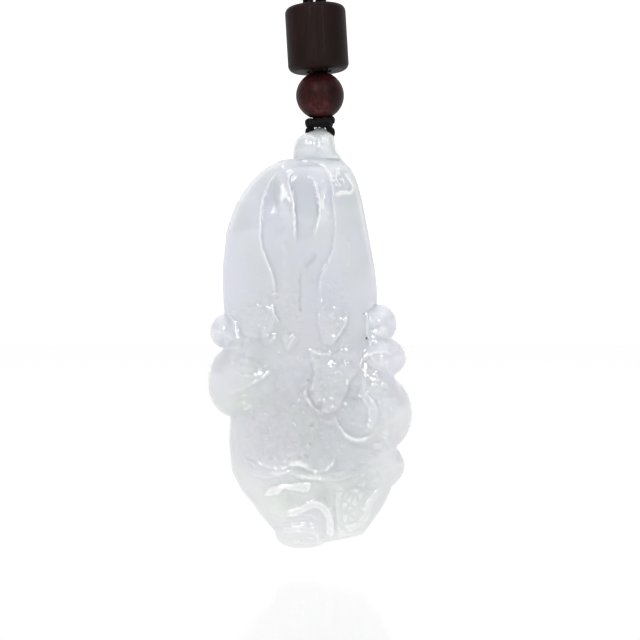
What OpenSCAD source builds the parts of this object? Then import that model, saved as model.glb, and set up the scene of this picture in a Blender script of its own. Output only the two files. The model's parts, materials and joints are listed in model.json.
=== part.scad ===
// Jade pendant carved as a Chinese cabbage, hung on a knotted cord with two wooden beads.
// Lengths are millimetres. The origin is where the cord lies on the nape of the neck,
// +Z is up, +X is to the right seen from the front, and the carved front faces -Y.

/* [Leaf body of the stone] */
// Height of the leaf body, from the groove under the knob to the lowest leaf
leaf_h = 48.5; // [38:0.5:60]
// Width that the leaf body's shares are taken of
leaf_w = 25.4; // [20:0.2:32]
// Thickness of the leaf body at its thickest
leaf_t = 10.4; // [8.4:0.2:14]

/* [Knob of the stone] */
// Height of the root knob that the cord passes through
knob_h = 4; // [3.4:0.1:5.5]
// Width of the root knob
knob_w = 6.2; // [5.4:0.1:9]
// Thickness of the root knob
knob_t = 4.8; // [4:0.1:7]
// Stone left between the two legs of the cord
nose_w = 1.7; // [1.3:0.1:2.4]
// Stone left over the bore
nose_wall = 0.65; // [0.6:0.05:0.9]
// How far the pendant can rock forward and back on its cord, in degrees
rock = 20; // [10:1:24]

/* [Loop through the stone] */
// Diameter of the thin cord that goes through the stone and the round bead
loop_d = 0.9; // [0.6:0.05:1.2]
// Gap between the thin cord and the wall of its bore
bore_gap = 0.1; // [0.05:0.01:0.1]
// Gap between pieces that sit against each other
seat_gap = 0.06; // [0.03:0.01:0.15]
// Width of the knot above the stone
low_knot_w = 3.9; // [3.5:0.1:5]
// Height of the knot above the stone
low_knot_h = 1.35; // [1.2:0.05:1.6]
// Cord wrapped round the two threads in the mouth of the barrel bead
mid_knot_wall = 0.27; // [0.25:0.01:0.35]
// Height of the knot in the mouth of the barrel bead
mid_knot_h = 1.1; // [0.9:0.05:1.3]

/* [Beads] */
// Diameter of the round wooden bead
round_d = 6; // [5:0.1:9]
// Diameter of the barrel bead
barrel_d = 7.6; // [6:0.1:12]
// Height of the barrel bead
barrel_h = 8.3; // [6:0.1:14]
// Radius of the barrel bead's shoulders
barrel_round = 0.9; // [0.4:0.1:1.2]
// Lean of the barrel bead to the left, in degrees
barrel_lean = 3.4; // [0:0.2:5]
// Tip of the barrel bead's top to the back, in degrees
barrel_tip = 4.5; // [0:0.5:6]
// How far the barrel bead's foot hangs to the left of the threads
barrel_shift = 0.15; // [0:0.05:0.2]

/* [Neck cord] */
// Diameter of each strand of the neck cord
strand_d = 1.45; // [1.2:0.05:1.6]
// Gap between the two strands in the barrel bead, and between them and its bore
strand_gap = 0.08; // [0.04:0.01:0.12]
// Height of the nape above the middle of the stone's bore
drop = 250; // [240:1:300]
// How far the pendant hangs in front of the nape
reach = 112; // [105:1:130]
// Half the width of the neck cord's loop
loop_half = 58; // [52:1:66]

/* [Hidden] */
$fn = 48;

jade_colour = [0.86, 0.88, 0.9];
cord_colour = [0.06, 0.05, 0.05];
round_colour = [0.36, 0.15, 0.14];
barrel_colour = [0.17, 0.1, 0.08];

// The bore and the nose of stone over it
bore_r = loop_d / 2 + bore_gap;
nose_r = bore_r + nose_wall;
leg_x = nose_w / 2 + bore_r;

// Heights above the middle of the bore
low_knot_z = nose_r + 2 * seat_gap;
round_r = round_d / 2;
pair_x = loop_d / 2 + 1.2 * seat_gap;
thread_r = pair_x + loop_d / 2 + seat_gap;
round_z = low_knot_z + low_knot_h - loop_d / 4 + sqrt(round_r * round_r - thread_r * thread_r);
mid_knot_r = thread_r + mid_knot_wall;
mid_knot_z = round_z + sqrt(round_r * round_r - mid_knot_r * mid_knot_r) + seat_gap;
barrel_z = round_z + round_r + 3 * seat_gap;
loop_top = mid_knot_z + mid_knot_h + 4 * seat_gap;
bend_swell = loop_d / 45;
draw_z = nose_r - loop_d / 6;
pair_z = low_knot_z + low_knot_h - loop_d * 0.4;

// The strands in the barrel bead
strand_r = strand_d / 2;
strand_x = strand_r + strand_gap / 2;
barrel_bore_r = max(strand_x + strand_r + strand_gap, mid_knot_r + barrel_shift + strand_gap);
strand_start = loop_top - barrel_z + 2 * seat_gap;

// Half sections of the knob, from its top down.
// Columns: depth below the top as a share of knob_h, left, right (shares of knob_w),
// half thickness (share of knob_t)
knob_rows = [
    [0.00, 0.09, 0.09, 0.03],
    [0.03, 0.11, 0.11, 0.11],
    [0.08, 0.14, 0.14, 0.18],
    [0.15, 0.27, 0.21, 0.30],
    [0.22, 0.38, 0.26, 0.37],
    [0.28, 0.43, 0.29, 0.42],
    [0.37, 0.48, 0.30, 0.46],
    [0.53, 0.52, 0.32, 0.48],
    [0.70, 0.55, 0.34, 0.50],
    [0.88, 0.55, 0.42, 0.48],
    [1.00, 0.52, 0.43, 0.46],
];

// Sections of the leaf body, from the groove under the knob to the lowest leaf.
// Columns: depth down, left, right, half thickness, as percent of leaf_h, leaf_w,
// leaf_w and leaf_t
leaf_rows = [
    [0, 17.8, 10.5, 25],
    [1.5, 25, 14, 32],
    [4, 31, 17, 38],
    [7, 36, 19, 42],
    [11, 41, 21, 46],
    [18, 46, 23.5, 49],
    [28, 48, 27, 50],
    [34, 47.8, 28.2, 50],
    [38, 47.5, 28, 50],
    [44, 46, 30, 49],
    [55, 44, 36.5, 47],
    [66, 44, 38.5, 45],
    [72, 44.8, 38.5, 43],
    [80, 43.5, 37, 40],
    [85, 38.6, 34.8, 37],
    [88, 33.6, 32.2, 35],
    [91, 29.8, 28.6, 32],
    [95, 23, 23, 26],
    [97, 20, 20.5, 20],
    [98, 17, 4, 16],
    [100, 10.5, -7.5, 9],
];

// Leaf lobes and curls that stand out past the body's sides.
// Columns: across, down, half width, half height (percent of leaf_w, leaf_h, leaf_w,
// leaf_h), roundness of the outline, half thickness (percent of leaf_t), lift to the front
lobes = [
    [29.5, 42.2, 8.4, 4.9, 2.0, 22, 10],
    [31.2, 50.8, 11.3, 5.1, 2.0, 27, 12],
    [25.3, 65.2, 20.1, 10.6, 2.1, 37, 4],
    [26.8, 78.6, 14.9, 6.7, 1.9, 28, 2],
    [-46.4, 44.1, 7.8, 4.4, 2.0, 20, 10],
    [-37.8, 57, 17.2, 9.4, 2.4, 34, 6],
    [-8.6, 96.0, 13.3, 3.9, 2.2, 22, 4],
];

// Raised leaves and bumps on the front.
// Columns: across, down, half width, half height, lean in degrees, rise (percent of leaf_t)
leaves = [
    [12.5, 49, 12.5, 17, 10, 9],
    [-29, 44, 9, 4, 0, 3],
    [-11, 54, 9, 6, 0, 3],
    [-17, 66, 11, 6, 20, 4],
    [-3, 73, 9, 5, -20, 4],
    [-37, 63, 5, 2.2, 0, 4],
    [22, 73, 12, 4, 10, 5],
    [-20, 88, 13, 5, 15, 5],
    [19, 88, 12, 7, -12, 6],
    [-8, 96, 11, 3.4, 0, 5],
];

// Hollows with a raised rim round their lower half.
// Columns: across, down, half width, half height, depth and rim rise (percent of leaf_t)
hollows = [
    [-30, 50, 11, 5.2, 13, 8],
    [17, 65, 8.5, 6.4, 10, 8],
];

// Edges that run down the stone: the stalks' edges, the curled rims and the grooves.
// Columns: half width (percent of leaf_w), rise (percent of leaf_t, cut when negative),
// then pairs of down and across
down_edges = [
    [5, 6, [[1, -17], [4, -22], [8, -27], [14, -29], [20, -29], [25, -26], [31, -22], [41, -22]]],
    [4.6, 7, [[1, -9], [4, -13], [8, -14], [15, -12], [25, -12], [36, -14]]],
    [4.6, 7, [[1, -4], [5, -3], [11, -1], [16, -1], [21, -3], [27, -6]]],
    [5, 6, [[1, 0], [5, 3], [9, 6], [14, 8], [20, 7], [26, 4], [30, 0], [41, -1]]],
    [4.5, 4, [[20, 13], [28, 12], [44, 11]]],
    [4, -6, [[28, -9], [31, -10], [41, -10]]],
    [6, 9, [[48, 31], [51, 23], [54, 20], [59, 19], [62, 23], [65, 26], [68, 24], [71, 21]]],
    [4, -8, [[86, 7], [92, 6], [98, 5]]],
];

// Wavy leaf rims that run across the stone.
// Columns: half height (percent of leaf_h), rise (percent of leaf_t), then pairs of across
// and down
cross_edges = [
    [2.2, 8, [[-33, 77], [-27, 79], [-19, 80], [-8, 79], [-3, 80.5], [5, 79], [9, 76]]],
    [2, 8, [[-30, 86], [-26, 86.5], [-19, 83.5], [-8, 84], [-3, 81.5]]],
    [2, 8, [[-22, 92], [-17, 91], [-9, 89], [-3, 88.5], [3, 90.5], [6, 94]]],
    [2, 6, [[12, 83], [18, 85], [24, 83], [30, 84]]],
];

// The neck cord's way on the right side, from above the barrel bead to the nape.
// Columns: x, y and z as shares of loop_half, reach and drop
neck_route = [
    [0.05, -0.99, -0.9],
    [0.12, -0.98, -0.84],
    [0.24, -0.95, -0.74],
    [0.38, -0.91, -0.62],
    [0.52, -0.86, -0.5],
    [0.67, -0.79, -0.38],
    [0.81, -0.71, -0.27],
    [0.93, -0.61, -0.17],
    [1, -0.49, -0.09],
    [1, -0.35, -0.04],
    [0.91, -0.21, -0.015],
    [0.74, -0.1, -0.005],
    [0.52, -0.04, 0],
    [0.26, -0.01, 0],
];
rings_a_step = 2;
cord_sides = 8;

// Helpers for the tables
function column(rows, k) = [for (r = rows) [r[0], r[k]]];
function soft(t, line, s) = (lookup(t - s, line) + 2 * lookup(t, line) + lookup(t + s, line)) / 4;
function total(v, i = 0) = i < len(v) ? v[i] + total(v, i + 1) : 0;
function bump(t) = abs(t) >= 1 ? 0 : pow(1 - t * t, 2);
function dome(r) = r >= 1 ? 0 : sqrt(1 - pow(r, 2.6));
function clip(t) = max(0, min(1, t));
function window(t, first, last, fade) = clip((t - first) / fade + 1) * clip((last - t) / fade + 1);

leaf_left = column(leaf_rows, 1);
leaf_right = column(leaf_rows, 2);
leaf_half = column(leaf_rows, 3);
knob_left = column(knob_rows, 1);
knob_right = column(knob_rows, 2);
knob_half = column(knob_rows, 3);

// How far a lobe reaches across at a depth, or nothing where it isn't there
function lobe_half(l, d) =
    let (t = abs(d - l[1]) / l[3])
    t >= 1 ? undef : l[2] * pow(1 - pow(t, l[4]), 1 / l[4]);
function reach_left(d) = max(concat(
    [soft(d, leaf_left, 1)],
    [for (l = lobes) let (h = lobe_half(l, d)) if (h != undef) h - l[0]]));
function reach_right(d) = max(concat(
    [soft(d, leaf_right, 1)],
    [for (l = lobes) let (h = lobe_half(l, d)) if (h != undef) h + l[0]]));

// Rounded bulk of the body and the lobes at a point, in percent of leaf_t
function body_bulk(a, d) =
    let (left = soft(d, leaf_left, 1), right = soft(d, leaf_right, 1))
    soft(d, leaf_half, 1) * dome(abs(2 * a + left - right) / (left + right));
function lobe_bulk(l, a, d) =
    l[5] * dome(pow(pow(abs(a - l[0]) / l[2], l[4]) + pow(abs(d - l[1]) / l[3], l[4]), 1 / l[4]));
function bulk(a, d) = max(concat(
    [body_bulk(a, d)],
    [for (l = lobes) if (abs(d - l[1]) < l[3] && abs(a - l[0]) < l[2]) lobe_bulk(l, a, d)]));
function lobe_lift(a, d) = max(concat(
    [0],
    [for (l = lobes) if (abs(d - l[1]) < l[3] && abs(a - l[0]) < l[2])
        l[6] * bump(norm([(a - l[0]) / l[2], (d - l[1]) / l[3]]))]));

// Carving on the front, in percent of leaf_t
function leaf_rise(l, a, d) =
    let (x = (a - l[0]) * cos(l[4]) + (d - l[1]) * sin(l[4]) * 1.9,
         z = (d - l[1]) * cos(l[4]) - (a - l[0]) * sin(l[4]) / 1.9)
    l[5] * clip(2.2 * bump(norm([x / l[2], z / l[3]])));
function hollow_rise(h, a, d) =
    let (r = norm([(a - h[0]) / h[2], (d - h[1]) / h[3]]))
    h[5] * bump((r - 1) / 0.32) * clip((d - h[1]) / h[3] + 0.8) - h[4] * bump(r / 0.9);
function down_rise(e, a, d) =
    e[1] * bump((a - soft(d, e[2], 1)) / e[0]) * window(d, e[2][0][0], e[2][len(e[2]) - 1][0], 3);
function cross_rise(e, a, d) =
    e[1] * bump((d - soft(a, e[2], 2)) / e[0]) * window(a, e[2][0][0], e[2][len(e[2]) - 1][0], 4);
function carving(a, d) =
    lobe_lift(a, d)
    + max([for (l = leaves) leaf_rise(l, a, d)])
    + total([for (h = hollows) hollow_rise(h, a, d)])
    + total([for (e = down_edges) down_rise(e, a, d)])
    + total([for (e = cross_edges) cross_rise(e, a, d)]);

// Points across a ring: evenly over the body, and closer together out to its sides
front_steps = 32;
back_steps = 8;
body_share = 0.9;
function spread(j, n) = 0.4 * -cos(180 * j / n) + 0.6 * (2 * j / n - 1);
function across_leaf(u, d) =
    let (left = soft(d, leaf_left, 1), right = soft(d, leaf_right, 1),
         mid = (right - left) / 2, half = (right + left) / 2,
         edge = mid + half * body_share * sign(u),
         out = u < 0 ? -reach_left(d) : reach_right(d))
    abs(u) < body_share ? mid + half * u : edge + (out - edge) * (abs(u) - body_share) / (1 - body_share);

// One ring of the leaf body at a depth in percent
function leaf_ring(d) =
    let (z = nose_r - knob_h - d / 100 * leaf_h, rim = 1.5)
    concat(
        [for (j = [0:front_steps])
            let (u = spread(j, front_steps), a = across_leaf(u, d), side = 1 - pow(abs(u), 6),
                 depth = max(rim, bulk(a, d) + carving(a, d) * side) * sign(side))
            [a / 100 * leaf_w, -depth / 100 * leaf_t, z]],
        [for (j = [back_steps - 1:-1:1])
            let (u = spread(j, back_steps), a = across_leaf(u, d))
            [a / 100 * leaf_w, max(rim, bulk(a, d)) / 100 * leaf_t, z]]);

// One ring of the knob at a depth as a share of knob_h, with its two bumps in front
function knob_ring(k) =
    let (left = lookup(k, knob_left), right = lookup(k, knob_right), half = lookup(k, knob_half),
         mid = (right - left) / 2, wide = (right + left) / 2, z = nose_r - k * knob_h)
    concat(
        [for (j = [0:front_steps])
            let (u = spread(j, front_steps), a = mid + wide * u, side = sqrt(1 - pow(abs(u), 5)),
                 groove = bump((a + 0.07) / 0.12) * bump((k - 0.65) / 0.5))
            [a * knob_w, -(half - 0.07 * groove) * side * knob_t, z]],
        [for (j = [back_steps - 1:-1:1])
            let (u = spread(j, back_steps), a = mid + wide * u)
            [a * knob_w, half * sqrt(1 - pow(abs(u), 5)) * knob_t, z]]);

knob_levels = [for (i = [0:12]) pow(i / 13, 1.3)];
leaf_levels = [for (i = [0:88]) 99.7 * i / 88];

module stone_blank() {
    rings = concat([for (k = knob_levels) knob_ring(k)], [for (d = leaf_levels) leaf_ring(d)]);
    n = front_steps + back_steps;
    last = len(rings) - 1;
    polyhedron(
        points = [for (r = rings) each r],
        faces = concat(
            [[for (j = [0:n - 1]) j]],
            [for (i = [0:last - 1], j = [0:n - 1]) [i * n + j, (i + 1) * n + j, i * n + (j + 1) % n]],
            [for (i = [0:last - 1], j = [0:n - 1])
                [(i + 1) * n + j, (i + 1) * n + (j + 1) % n, i * n + (j + 1) % n]],
            [[for (j = [n - 1:-1:0]) last * n + j]]),
        convexity = 6);
}

// Space that a leg of the cord needs on one side while the stone rocks
module leg_slot() {
    up = nose_r + knob_h;
    foot = bore_r / cos(rock) + bore_gap / 5;
    translate([nose_w / 2, 0, 0])
    rotate([90, 0, 90]) {
        cylinder(r = foot + bore_gap / 2, h = knob_w);
        linear_extrude(knob_w)
        polygon([[foot, 0], [foot + up * tan(rock), up], [-foot - up * tan(rock), up], [-foot, 0]]);
    }
}

module jade_pendant() {
    color(jade_colour)
    translate([0, -reach, -drop])
    difference() {
        stone_blank();
        rotate([0, 90, 0]) cylinder(r = bore_r, h = 2 * knob_w, center = true);
        leg_slot();
        mirror([1, 0, 0]) leg_slot();
    }
}

// A straight run of round cord that ends in a slightly fuller bend
module run(a, b, r) {
    v = b - a;
    translate(a)
    rotate([0, acos(v[2] / norm(v)), atan2(v[1], v[0])])
    cylinder(r = r, h = norm(v));
    translate(b) sphere(r = r + bend_swell);
}

// Where a leg of the thin cord is drawn in over the nose and runs up beside the other one
module draw_path(r) {
    run([leg_x, 0, 0], [leg_x, 0, draw_z], r);
    run([leg_x, 0, draw_z], [pair_x, 0, pair_z], r);
    translate([pair_x, 0, pair_z]) cylinder(r = r, h = loop_top - pair_z);
}

// The thin cord: across through the bore, then up both sides of the nose
module loop_path(r) {
    rotate([0, 90, 0]) cylinder(r = r, h = 2 * leg_x, center = true);
    for (side = [0, 1]) mirror([side, 0, 0]) {
        translate([leg_x, 0, 0]) sphere(r = r + bend_swell);
        draw_path(r);
    }
}

// Room that the two threads need in a knot
module draw_room() {
    for (side = [0, 1]) mirror([side, 0, 0]) draw_path(loop_d / 2 + seat_gap);
}

module hanging_loop() {
    color(cord_colour)
    translate([0, -reach, -drop])
    loop_path(loop_d / 2);
}

// Turns of cord laid on each other round the two threads
module wraps(width, height, turns) {
    turn = height / turns;
    rotate_extrude()
    union() {
        square([width / 2 - turn / 2, height]);
        translate([0, turn / 2]) square([width / 2 - turn / 4, height - turn]);
        for (i = [0:turns - 1])
            translate([width / 2 - turn / 2, turn * (i + 0.5)]) circle(d = turn);
    }
}

module lower_knot() {
    color(cord_colour)
    translate([0, -reach, -drop])
    difference() {
        translate([0, 0, low_knot_z]) wraps(low_knot_w, low_knot_h, 2);
        draw_room();
        translate([0, 0, round_z]) sphere(r = round_r + seat_gap);
    }
}

module round_bead() {
    color(round_colour)
    translate([0, -reach, round_z - drop])
    difference() {
        sphere(r = round_r);
        cylinder(r = thread_r, h = round_d, center = true);
    }
}

module middle_knot() {
    color(cord_colour)
    translate([0, -reach, -drop])
    difference() {
        translate([0, 0, mid_knot_z]) wraps(2 * mid_knot_r, mid_knot_h, 2);
        draw_room();
        translate([0, 0, round_z]) sphere(r = round_r + seat_gap);
    }
}

// The barrel bead's foot, and a point on its axis
barrel_foot = [-barrel_shift, -reach, barrel_z - drop];
barrel_axis = [-sin(barrel_lean) * cos(barrel_tip), sin(barrel_tip), cos(barrel_lean) * cos(barrel_tip)];
function in_barrel(side, h) = barrel_foot + h * barrel_axis + [side * strand_x, 0, 0];

module barrel_bead() {
    flat = barrel_d / 2 - barrel_bore_r;
    color(barrel_colour)
    translate(barrel_foot)
    rotate([0, acos(barrel_axis[2]), atan2(barrel_axis[1], barrel_axis[0])])
    rotate_extrude()
    translate([barrel_bore_r, 0])
    union() {
        square([flat - barrel_round, barrel_h]);
        translate([0, barrel_round]) square([flat, barrel_h - 2 * barrel_round]);
        for (h = [barrel_round, barrel_h - barrel_round])
            translate([flat - barrel_round, h]) circle(r = barrel_round);
    }
}

// The neck cord's whole way, from inside the barrel bead round the neck and back into it
function route_side(side) = [for (p = neck_route) [side * p[0] * loop_half, p[1] * reach, p[2] * drop]];
function turned(v) = [for (i = [len(v) - 1:-1:0]) v[i]];
barrel_stops = [strand_start, barrel_h * 0.6, barrel_h + strand_r, barrel_h + 3 * strand_d];
cord_way = concat(
    [for (h = barrel_stops) in_barrel(1, h)],
    route_side(1),
    [[0, 0, 0]],
    turned(route_side(-1)),
    turned([for (h = barrel_stops) in_barrel(-1, h)]));

// A smooth curve through the way's points
function curve_point(p, i, t) =
    let (a = p[max(i - 1, 0)], b = p[i], c = p[i + 1], d = p[min(i + 2, len(p) - 1)])
    b + t * ((c - a) / 2
        + t * (a - 2.5 * b + 2 * c - d / 2
        + t * (1.5 * (b - c) + (d - a) / 2)));
cord_line = concat(
    [for (i = [0:len(cord_way) - 2], k = [0:rings_a_step - 1])
        curve_point(cord_way, i, k / rings_a_step)],
    [cord_way[len(cord_way) - 1]]);

// A round tube swept along a line of points
module tube(line, r, sides) {
    last = len(line) - 1;
    flat = [0, drop, -reach];
    rings = [for (i = [0:last])
        let (v = line[min(i + 1, last)] - line[max(i - 1, 0)],
             out = cross(v, flat) / norm(cross(v, flat)),
             up = cross(out, v) / norm(v))
        [for (j = [0:sides - 1])
            line[i] + r * (cos(360 * j / sides) * out + sin(360 * j / sides) * up)]];
    polyhedron(
        points = [for (ring = rings) each ring],
        faces = concat(
            [[for (j = [0:sides - 1]) j]],
            [for (i = [0:last - 1], j = [0:sides - 1])
                [i * sides + j, (i + 1) * sides + j, i * sides + (j + 1) % sides]],
            [for (i = [0:last - 1], j = [0:sides - 1])
                [(i + 1) * sides + j, (i + 1) * sides + (j + 1) % sides, i * sides + (j + 1) % sides]],
            [[for (j = [sides - 1:-1:0]) last * sides + j]]),
        convexity = 8);
}

module neck_cord() {
    color(cord_colour)
    tube(cord_line, strand_r, cord_sides);
}

jade_pendant();
hanging_loop();
lower_knot();
round_bead();
middle_knot();
barrel_bead();
neck_cord();
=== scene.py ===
import json
import math

import bpy
import numpy as np
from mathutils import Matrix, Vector, noise


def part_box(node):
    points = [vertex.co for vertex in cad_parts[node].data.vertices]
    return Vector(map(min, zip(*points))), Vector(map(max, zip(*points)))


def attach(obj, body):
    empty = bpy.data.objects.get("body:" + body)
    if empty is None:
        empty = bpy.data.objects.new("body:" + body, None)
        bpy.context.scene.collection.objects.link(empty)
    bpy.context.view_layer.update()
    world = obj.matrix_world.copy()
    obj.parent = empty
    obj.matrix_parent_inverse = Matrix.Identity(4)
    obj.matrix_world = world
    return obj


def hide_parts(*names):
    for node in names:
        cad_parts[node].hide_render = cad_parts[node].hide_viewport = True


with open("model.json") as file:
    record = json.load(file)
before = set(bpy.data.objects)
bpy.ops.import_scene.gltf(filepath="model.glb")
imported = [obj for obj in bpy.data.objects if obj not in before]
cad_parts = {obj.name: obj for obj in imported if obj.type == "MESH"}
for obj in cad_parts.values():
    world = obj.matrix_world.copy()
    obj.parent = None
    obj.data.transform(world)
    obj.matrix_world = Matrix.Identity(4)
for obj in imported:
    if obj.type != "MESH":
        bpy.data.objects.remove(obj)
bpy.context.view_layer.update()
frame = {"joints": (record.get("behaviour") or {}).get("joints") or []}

MM = 0.001
bore = Vector(frame["joints"][0]["pos_m"])   # the middle of the stone's bore, which the stone rocks on


# The camera
# A level view from the front, a hand's width over the floor, with the stone in the lower
# three quarters of the frame and the beads over it.
view_distance = 350 * MM
view_height = -22.8 * MM                     # the middle of the frame, from the bore
camera_data = bpy.data.cameras.new("camera")
camera_data.sensor_width = 36
camera_data.lens = 157.5                     # an 80 mm wide view at the stone
camera = bpy.data.objects.new("camera", camera_data)
camera.location = bore + Vector((0, -view_distance, view_height))
camera.rotation_euler = (math.pi / 2, 0, 0)
bpy.context.scene.collection.objects.link(camera)
bpy.context.scene.camera = camera
bpy.context.scene.view_settings.view_transform = "Standard"


# The neck cord
# A black nylon cord of three laid plies. It comes up out of the barrel bead as two strands,
# goes round the neck as one loop, and lies on the nape at the origin.
strand_d = 1.45 * MM
strand_gap = 0.08 * MM
strand_lay = 3.1 * MM                        # one turn of the plies
strand_r = 0.52 * strand_d                   # to the crowns of the plies
seat_gap = 0.06 * MM

# The barrel bead stands on the round one, leans to the left and tips back, and its strands with it
barrel_lean = math.radians(3.4)
barrel_tip = math.radians(4.5)
barrel_h = 8.3 * MM
barrel_shift = 0.15 * MM
round_low, round_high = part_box("round_bead")
barrel_foot = Vector((-barrel_shift, bore.y, round_high.z + 3 * seat_gap))
barrel_axis = Vector((-math.sin(barrel_lean) * math.cos(barrel_tip), math.sin(barrel_tip),
                      math.cos(barrel_lean) * math.cos(barrel_tip)))
loop_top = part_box("hanging_loop")[1]
loop_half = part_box("neck_cord")[1].x - strand_d / 2

# Columns: x, y and z as shares of the loop's half width, its reach to the front and its drop
neck_route = [
    (0.05, -0.99, -0.9), (0.12, -0.98, -0.84), (0.24, -0.95, -0.74), (0.38, -0.91, -0.62),
    (0.52, -0.86, -0.5), (0.67, -0.79, -0.38), (0.81, -0.71, -0.27), (0.93, -0.61, -0.17),
    (1, -0.49, -0.09), (1, -0.35, -0.04), (0.91, -0.21, -0.015), (0.74, -0.1, -0.005),
    (0.52, -0.04, 0), (0.26, -0.01, 0),
]


def strand_in_barrel(side):
    """The stops of one strand inside the barrel bead and just over it."""
    start = loop_top.z - barrel_foot.z + 2 * seat_gap
    across = side * (strand_d + strand_gap) / 2
    stops = [start, barrel_h * 0.6, barrel_h + strand_d / 2, barrel_h + 3 * strand_d]
    return [barrel_foot + h * barrel_axis + Vector((across, 0, 0)) for h in stops]


def strand_route(side):
    return [Vector((side * x * loop_half, -y * bore.y, -z * bore.z)) for x, y, z in neck_route]


def length_along(line):
    return np.concatenate([[0], np.cumsum(np.linalg.norm(np.diff(line, axis=0), axis=1))])


def smooth_way(points, spacing):
    """Evenly spaced points along a smooth curve through the given ones."""
    p = np.array([tuple(q) for q in points], float)
    p = np.vstack([p[:1], p, p[-1:]])
    t = np.linspace(0, 1, 24, endpoint=False)[:, None]       # 24 short steps between two stops
    legs = [
        b + t * ((c - a) / 2 + t * (a - 2.5 * b + 2 * c - d / 2 + t * (1.5 * (b - c) + (d - a) / 2)))
        for a, b, c, d in zip(p[:-3], p[1:-2], p[2:-1], p[3:])
    ]
    line = np.vstack(legs + [p[-1:]])
    run = length_along(line)
    stops = np.linspace(0, run[-1], max(2, int(run[-1] / spacing)) + 1)
    return np.stack([np.interp(stops, run, line[:, k]) for k in range(line.shape[1])], axis=1)


def carried_frames(way):
    """Two cross directions at each point of a way, carried along without twisting."""
    tangent = np.gradient(way, axis=0)
    tangent /= np.linalg.norm(tangent, axis=1)[:, None]
    out = np.cross(tangent[0], (0.3, 1, 0.2))                # any direction off the way will do
    first = []
    for v in tangent:
        out = out - v * out.dot(v)
        out /= np.linalg.norm(out)
        first.append(out)
    first = np.array(first)
    return first, np.cross(tangent, first)


def ring_faces(rings, around, closed=False):
    """Four-sided faces between rings of points, each a number of points around."""
    i = np.arange(rings if closed else rings - 1)[:, None]
    j = np.arange(around)
    here, over = i * around, (i + 1) % rings * around
    beside = (j + 1) % around
    return np.stack([here + j, here + beside, over + beside, over + j], axis=-1).reshape(-1, 4).tolist()


def tube(way, radius, sides):
    """Points and faces of a round tube along a way, closed at both ends."""
    first, second = carried_frames(way)
    turn = np.linspace(0, 2 * math.pi, sides, endpoint=False)[:, None]
    points = way[:, None] + radius * (first[:, None] * np.cos(turn) + second[:, None] * np.sin(turn))
    end = list(range(sides))
    far_end = [(len(way) - 1) * sides + k for k in end]
    return points.reshape(-1, 3), ring_faces(len(way), sides) + [end[::-1], far_end]


def laid_cord(way, radius, lay, plies=3, sides=6, plump=0.53):
    """Plies of thread laid round each other along a way. Plump is a ply's share of the radius."""
    first, second = carried_frames(way)
    run = length_along(way)
    ply_r = radius * plump
    made = []
    for k in range(plies):
        turn = (2 * math.pi * (run / lay + k / plies))[:, None]
        centre = way + (radius - ply_r) * (np.cos(turn) * first + np.sin(turn) * second)
        made.append(tube(centre, ply_r, sides))
    return made


def mesh_object(name, points, faces):
    mesh = bpy.data.meshes.new(name)
    mesh.from_pydata([tuple(p) for p in points], [], faces)
    mesh.validate()
    mesh.update()
    thing = bpy.data.objects.new(name, mesh)
    bpy.context.scene.collection.objects.link(thing)
    return thing


def piece(name, parts, material, body, node):
    """One mesh object of several point and face lists, which stands for a node of the frame."""
    points, faces = [], []
    for part_points, part_faces in parts:
        faces += [[v + len(points) for v in face] for face in part_faces]
        points += np.asarray(part_points, float).tolist()
    thing = mesh_object(name, points, faces)
    thing.data.shade_smooth()
    thing.data.materials.append(material)
    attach(thing, body)
    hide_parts(node)
    return thing


class Nodes:
    """The nodes of a finish or of the surround, with a shorthand to add, set and join them."""

    def __init__(self, tree, end):
        self.tree = tree
        self.end = tree.nodes[end]           # the node that the others lead to

    def put(self, node, inputs):
        """Joins each input of a node to another node's output, or sets it to a value."""
        for socket, value in inputs.items():
            if isinstance(value, bpy.types.NodeSocket):
                self.tree.links.new(value, node.inputs[socket])
            else:
                node.inputs[socket].default_value = value

    def add(self, kind, inputs=None, out=0, **settings):
        """One output of a new node."""
        node = self.tree.nodes.new("ShaderNode" + kind)
        for name, value in settings.items():
            setattr(node, name, value)
        self.put(node, inputs or {})
        return node.outputs[out]

    def work(self, operation, *values):
        return self.add("Math", dict(enumerate(values)), operation=operation)

    def noise(self, scale, detail, roughness=0.5, squeeze=1.0):
        """Noise with a scale per metre, drawn out along the height where squeeze is under 1."""
        place = self.add("Mapping", {"Vector": self.add("TexCoord", out="Object"), "Scale": (1, 1, squeeze)})
        inputs = {"Vector": place, "Scale": scale, "Detail": detail, "Roughness": roughness}
        return self.add("TexNoise", inputs)

    def ramp(self, source, *stops):
        """Colours along a value. Each stop is its place and its colour."""
        node = self.tree.nodes.new("ShaderNodeValToRGB")
        self.put(node, {"Fac": source})
        while len(node.color_ramp.elements) < len(stops):
            node.color_ramp.elements.new(0.5)
        for element, (place, colour) in zip(node.color_ramp.elements, stops):
            element.position = place
            element.color = (*colour, 1)
        return node.outputs["Color"]

    def dress(self, colour, height, strength, deep):
        """The finish's colour, and the small bumps that its surface has."""
        bumps = self.add("Bump", {"Height": height, "Strength": strength, "Distance": deep})
        self.put(self.end, {"Base Color": colour, "Normal": bumps})


def finish(name, sockets):
    """A new material with its main shader's sockets set, and its nodes."""
    material = bpy.data.materials.new(name)
    material.use_nodes = True
    nodes = Nodes(material.node_tree, "Principled BSDF")
    nodes.put(nodes.end, sockets)
    return material, nodes


black_cord, cord = finish("black_cord", {"Roughness": 0.5, "Specular IOR Level": 0.12})
fuzz = cord.noise(5200, 4)
cord.dress(cord.ramp(fuzz, (0.3, (0.002, 0.002, 0.002)), (0.75, (0.009, 0.007, 0.007))), fuzz, 0.5, 0.05 * MM)

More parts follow.
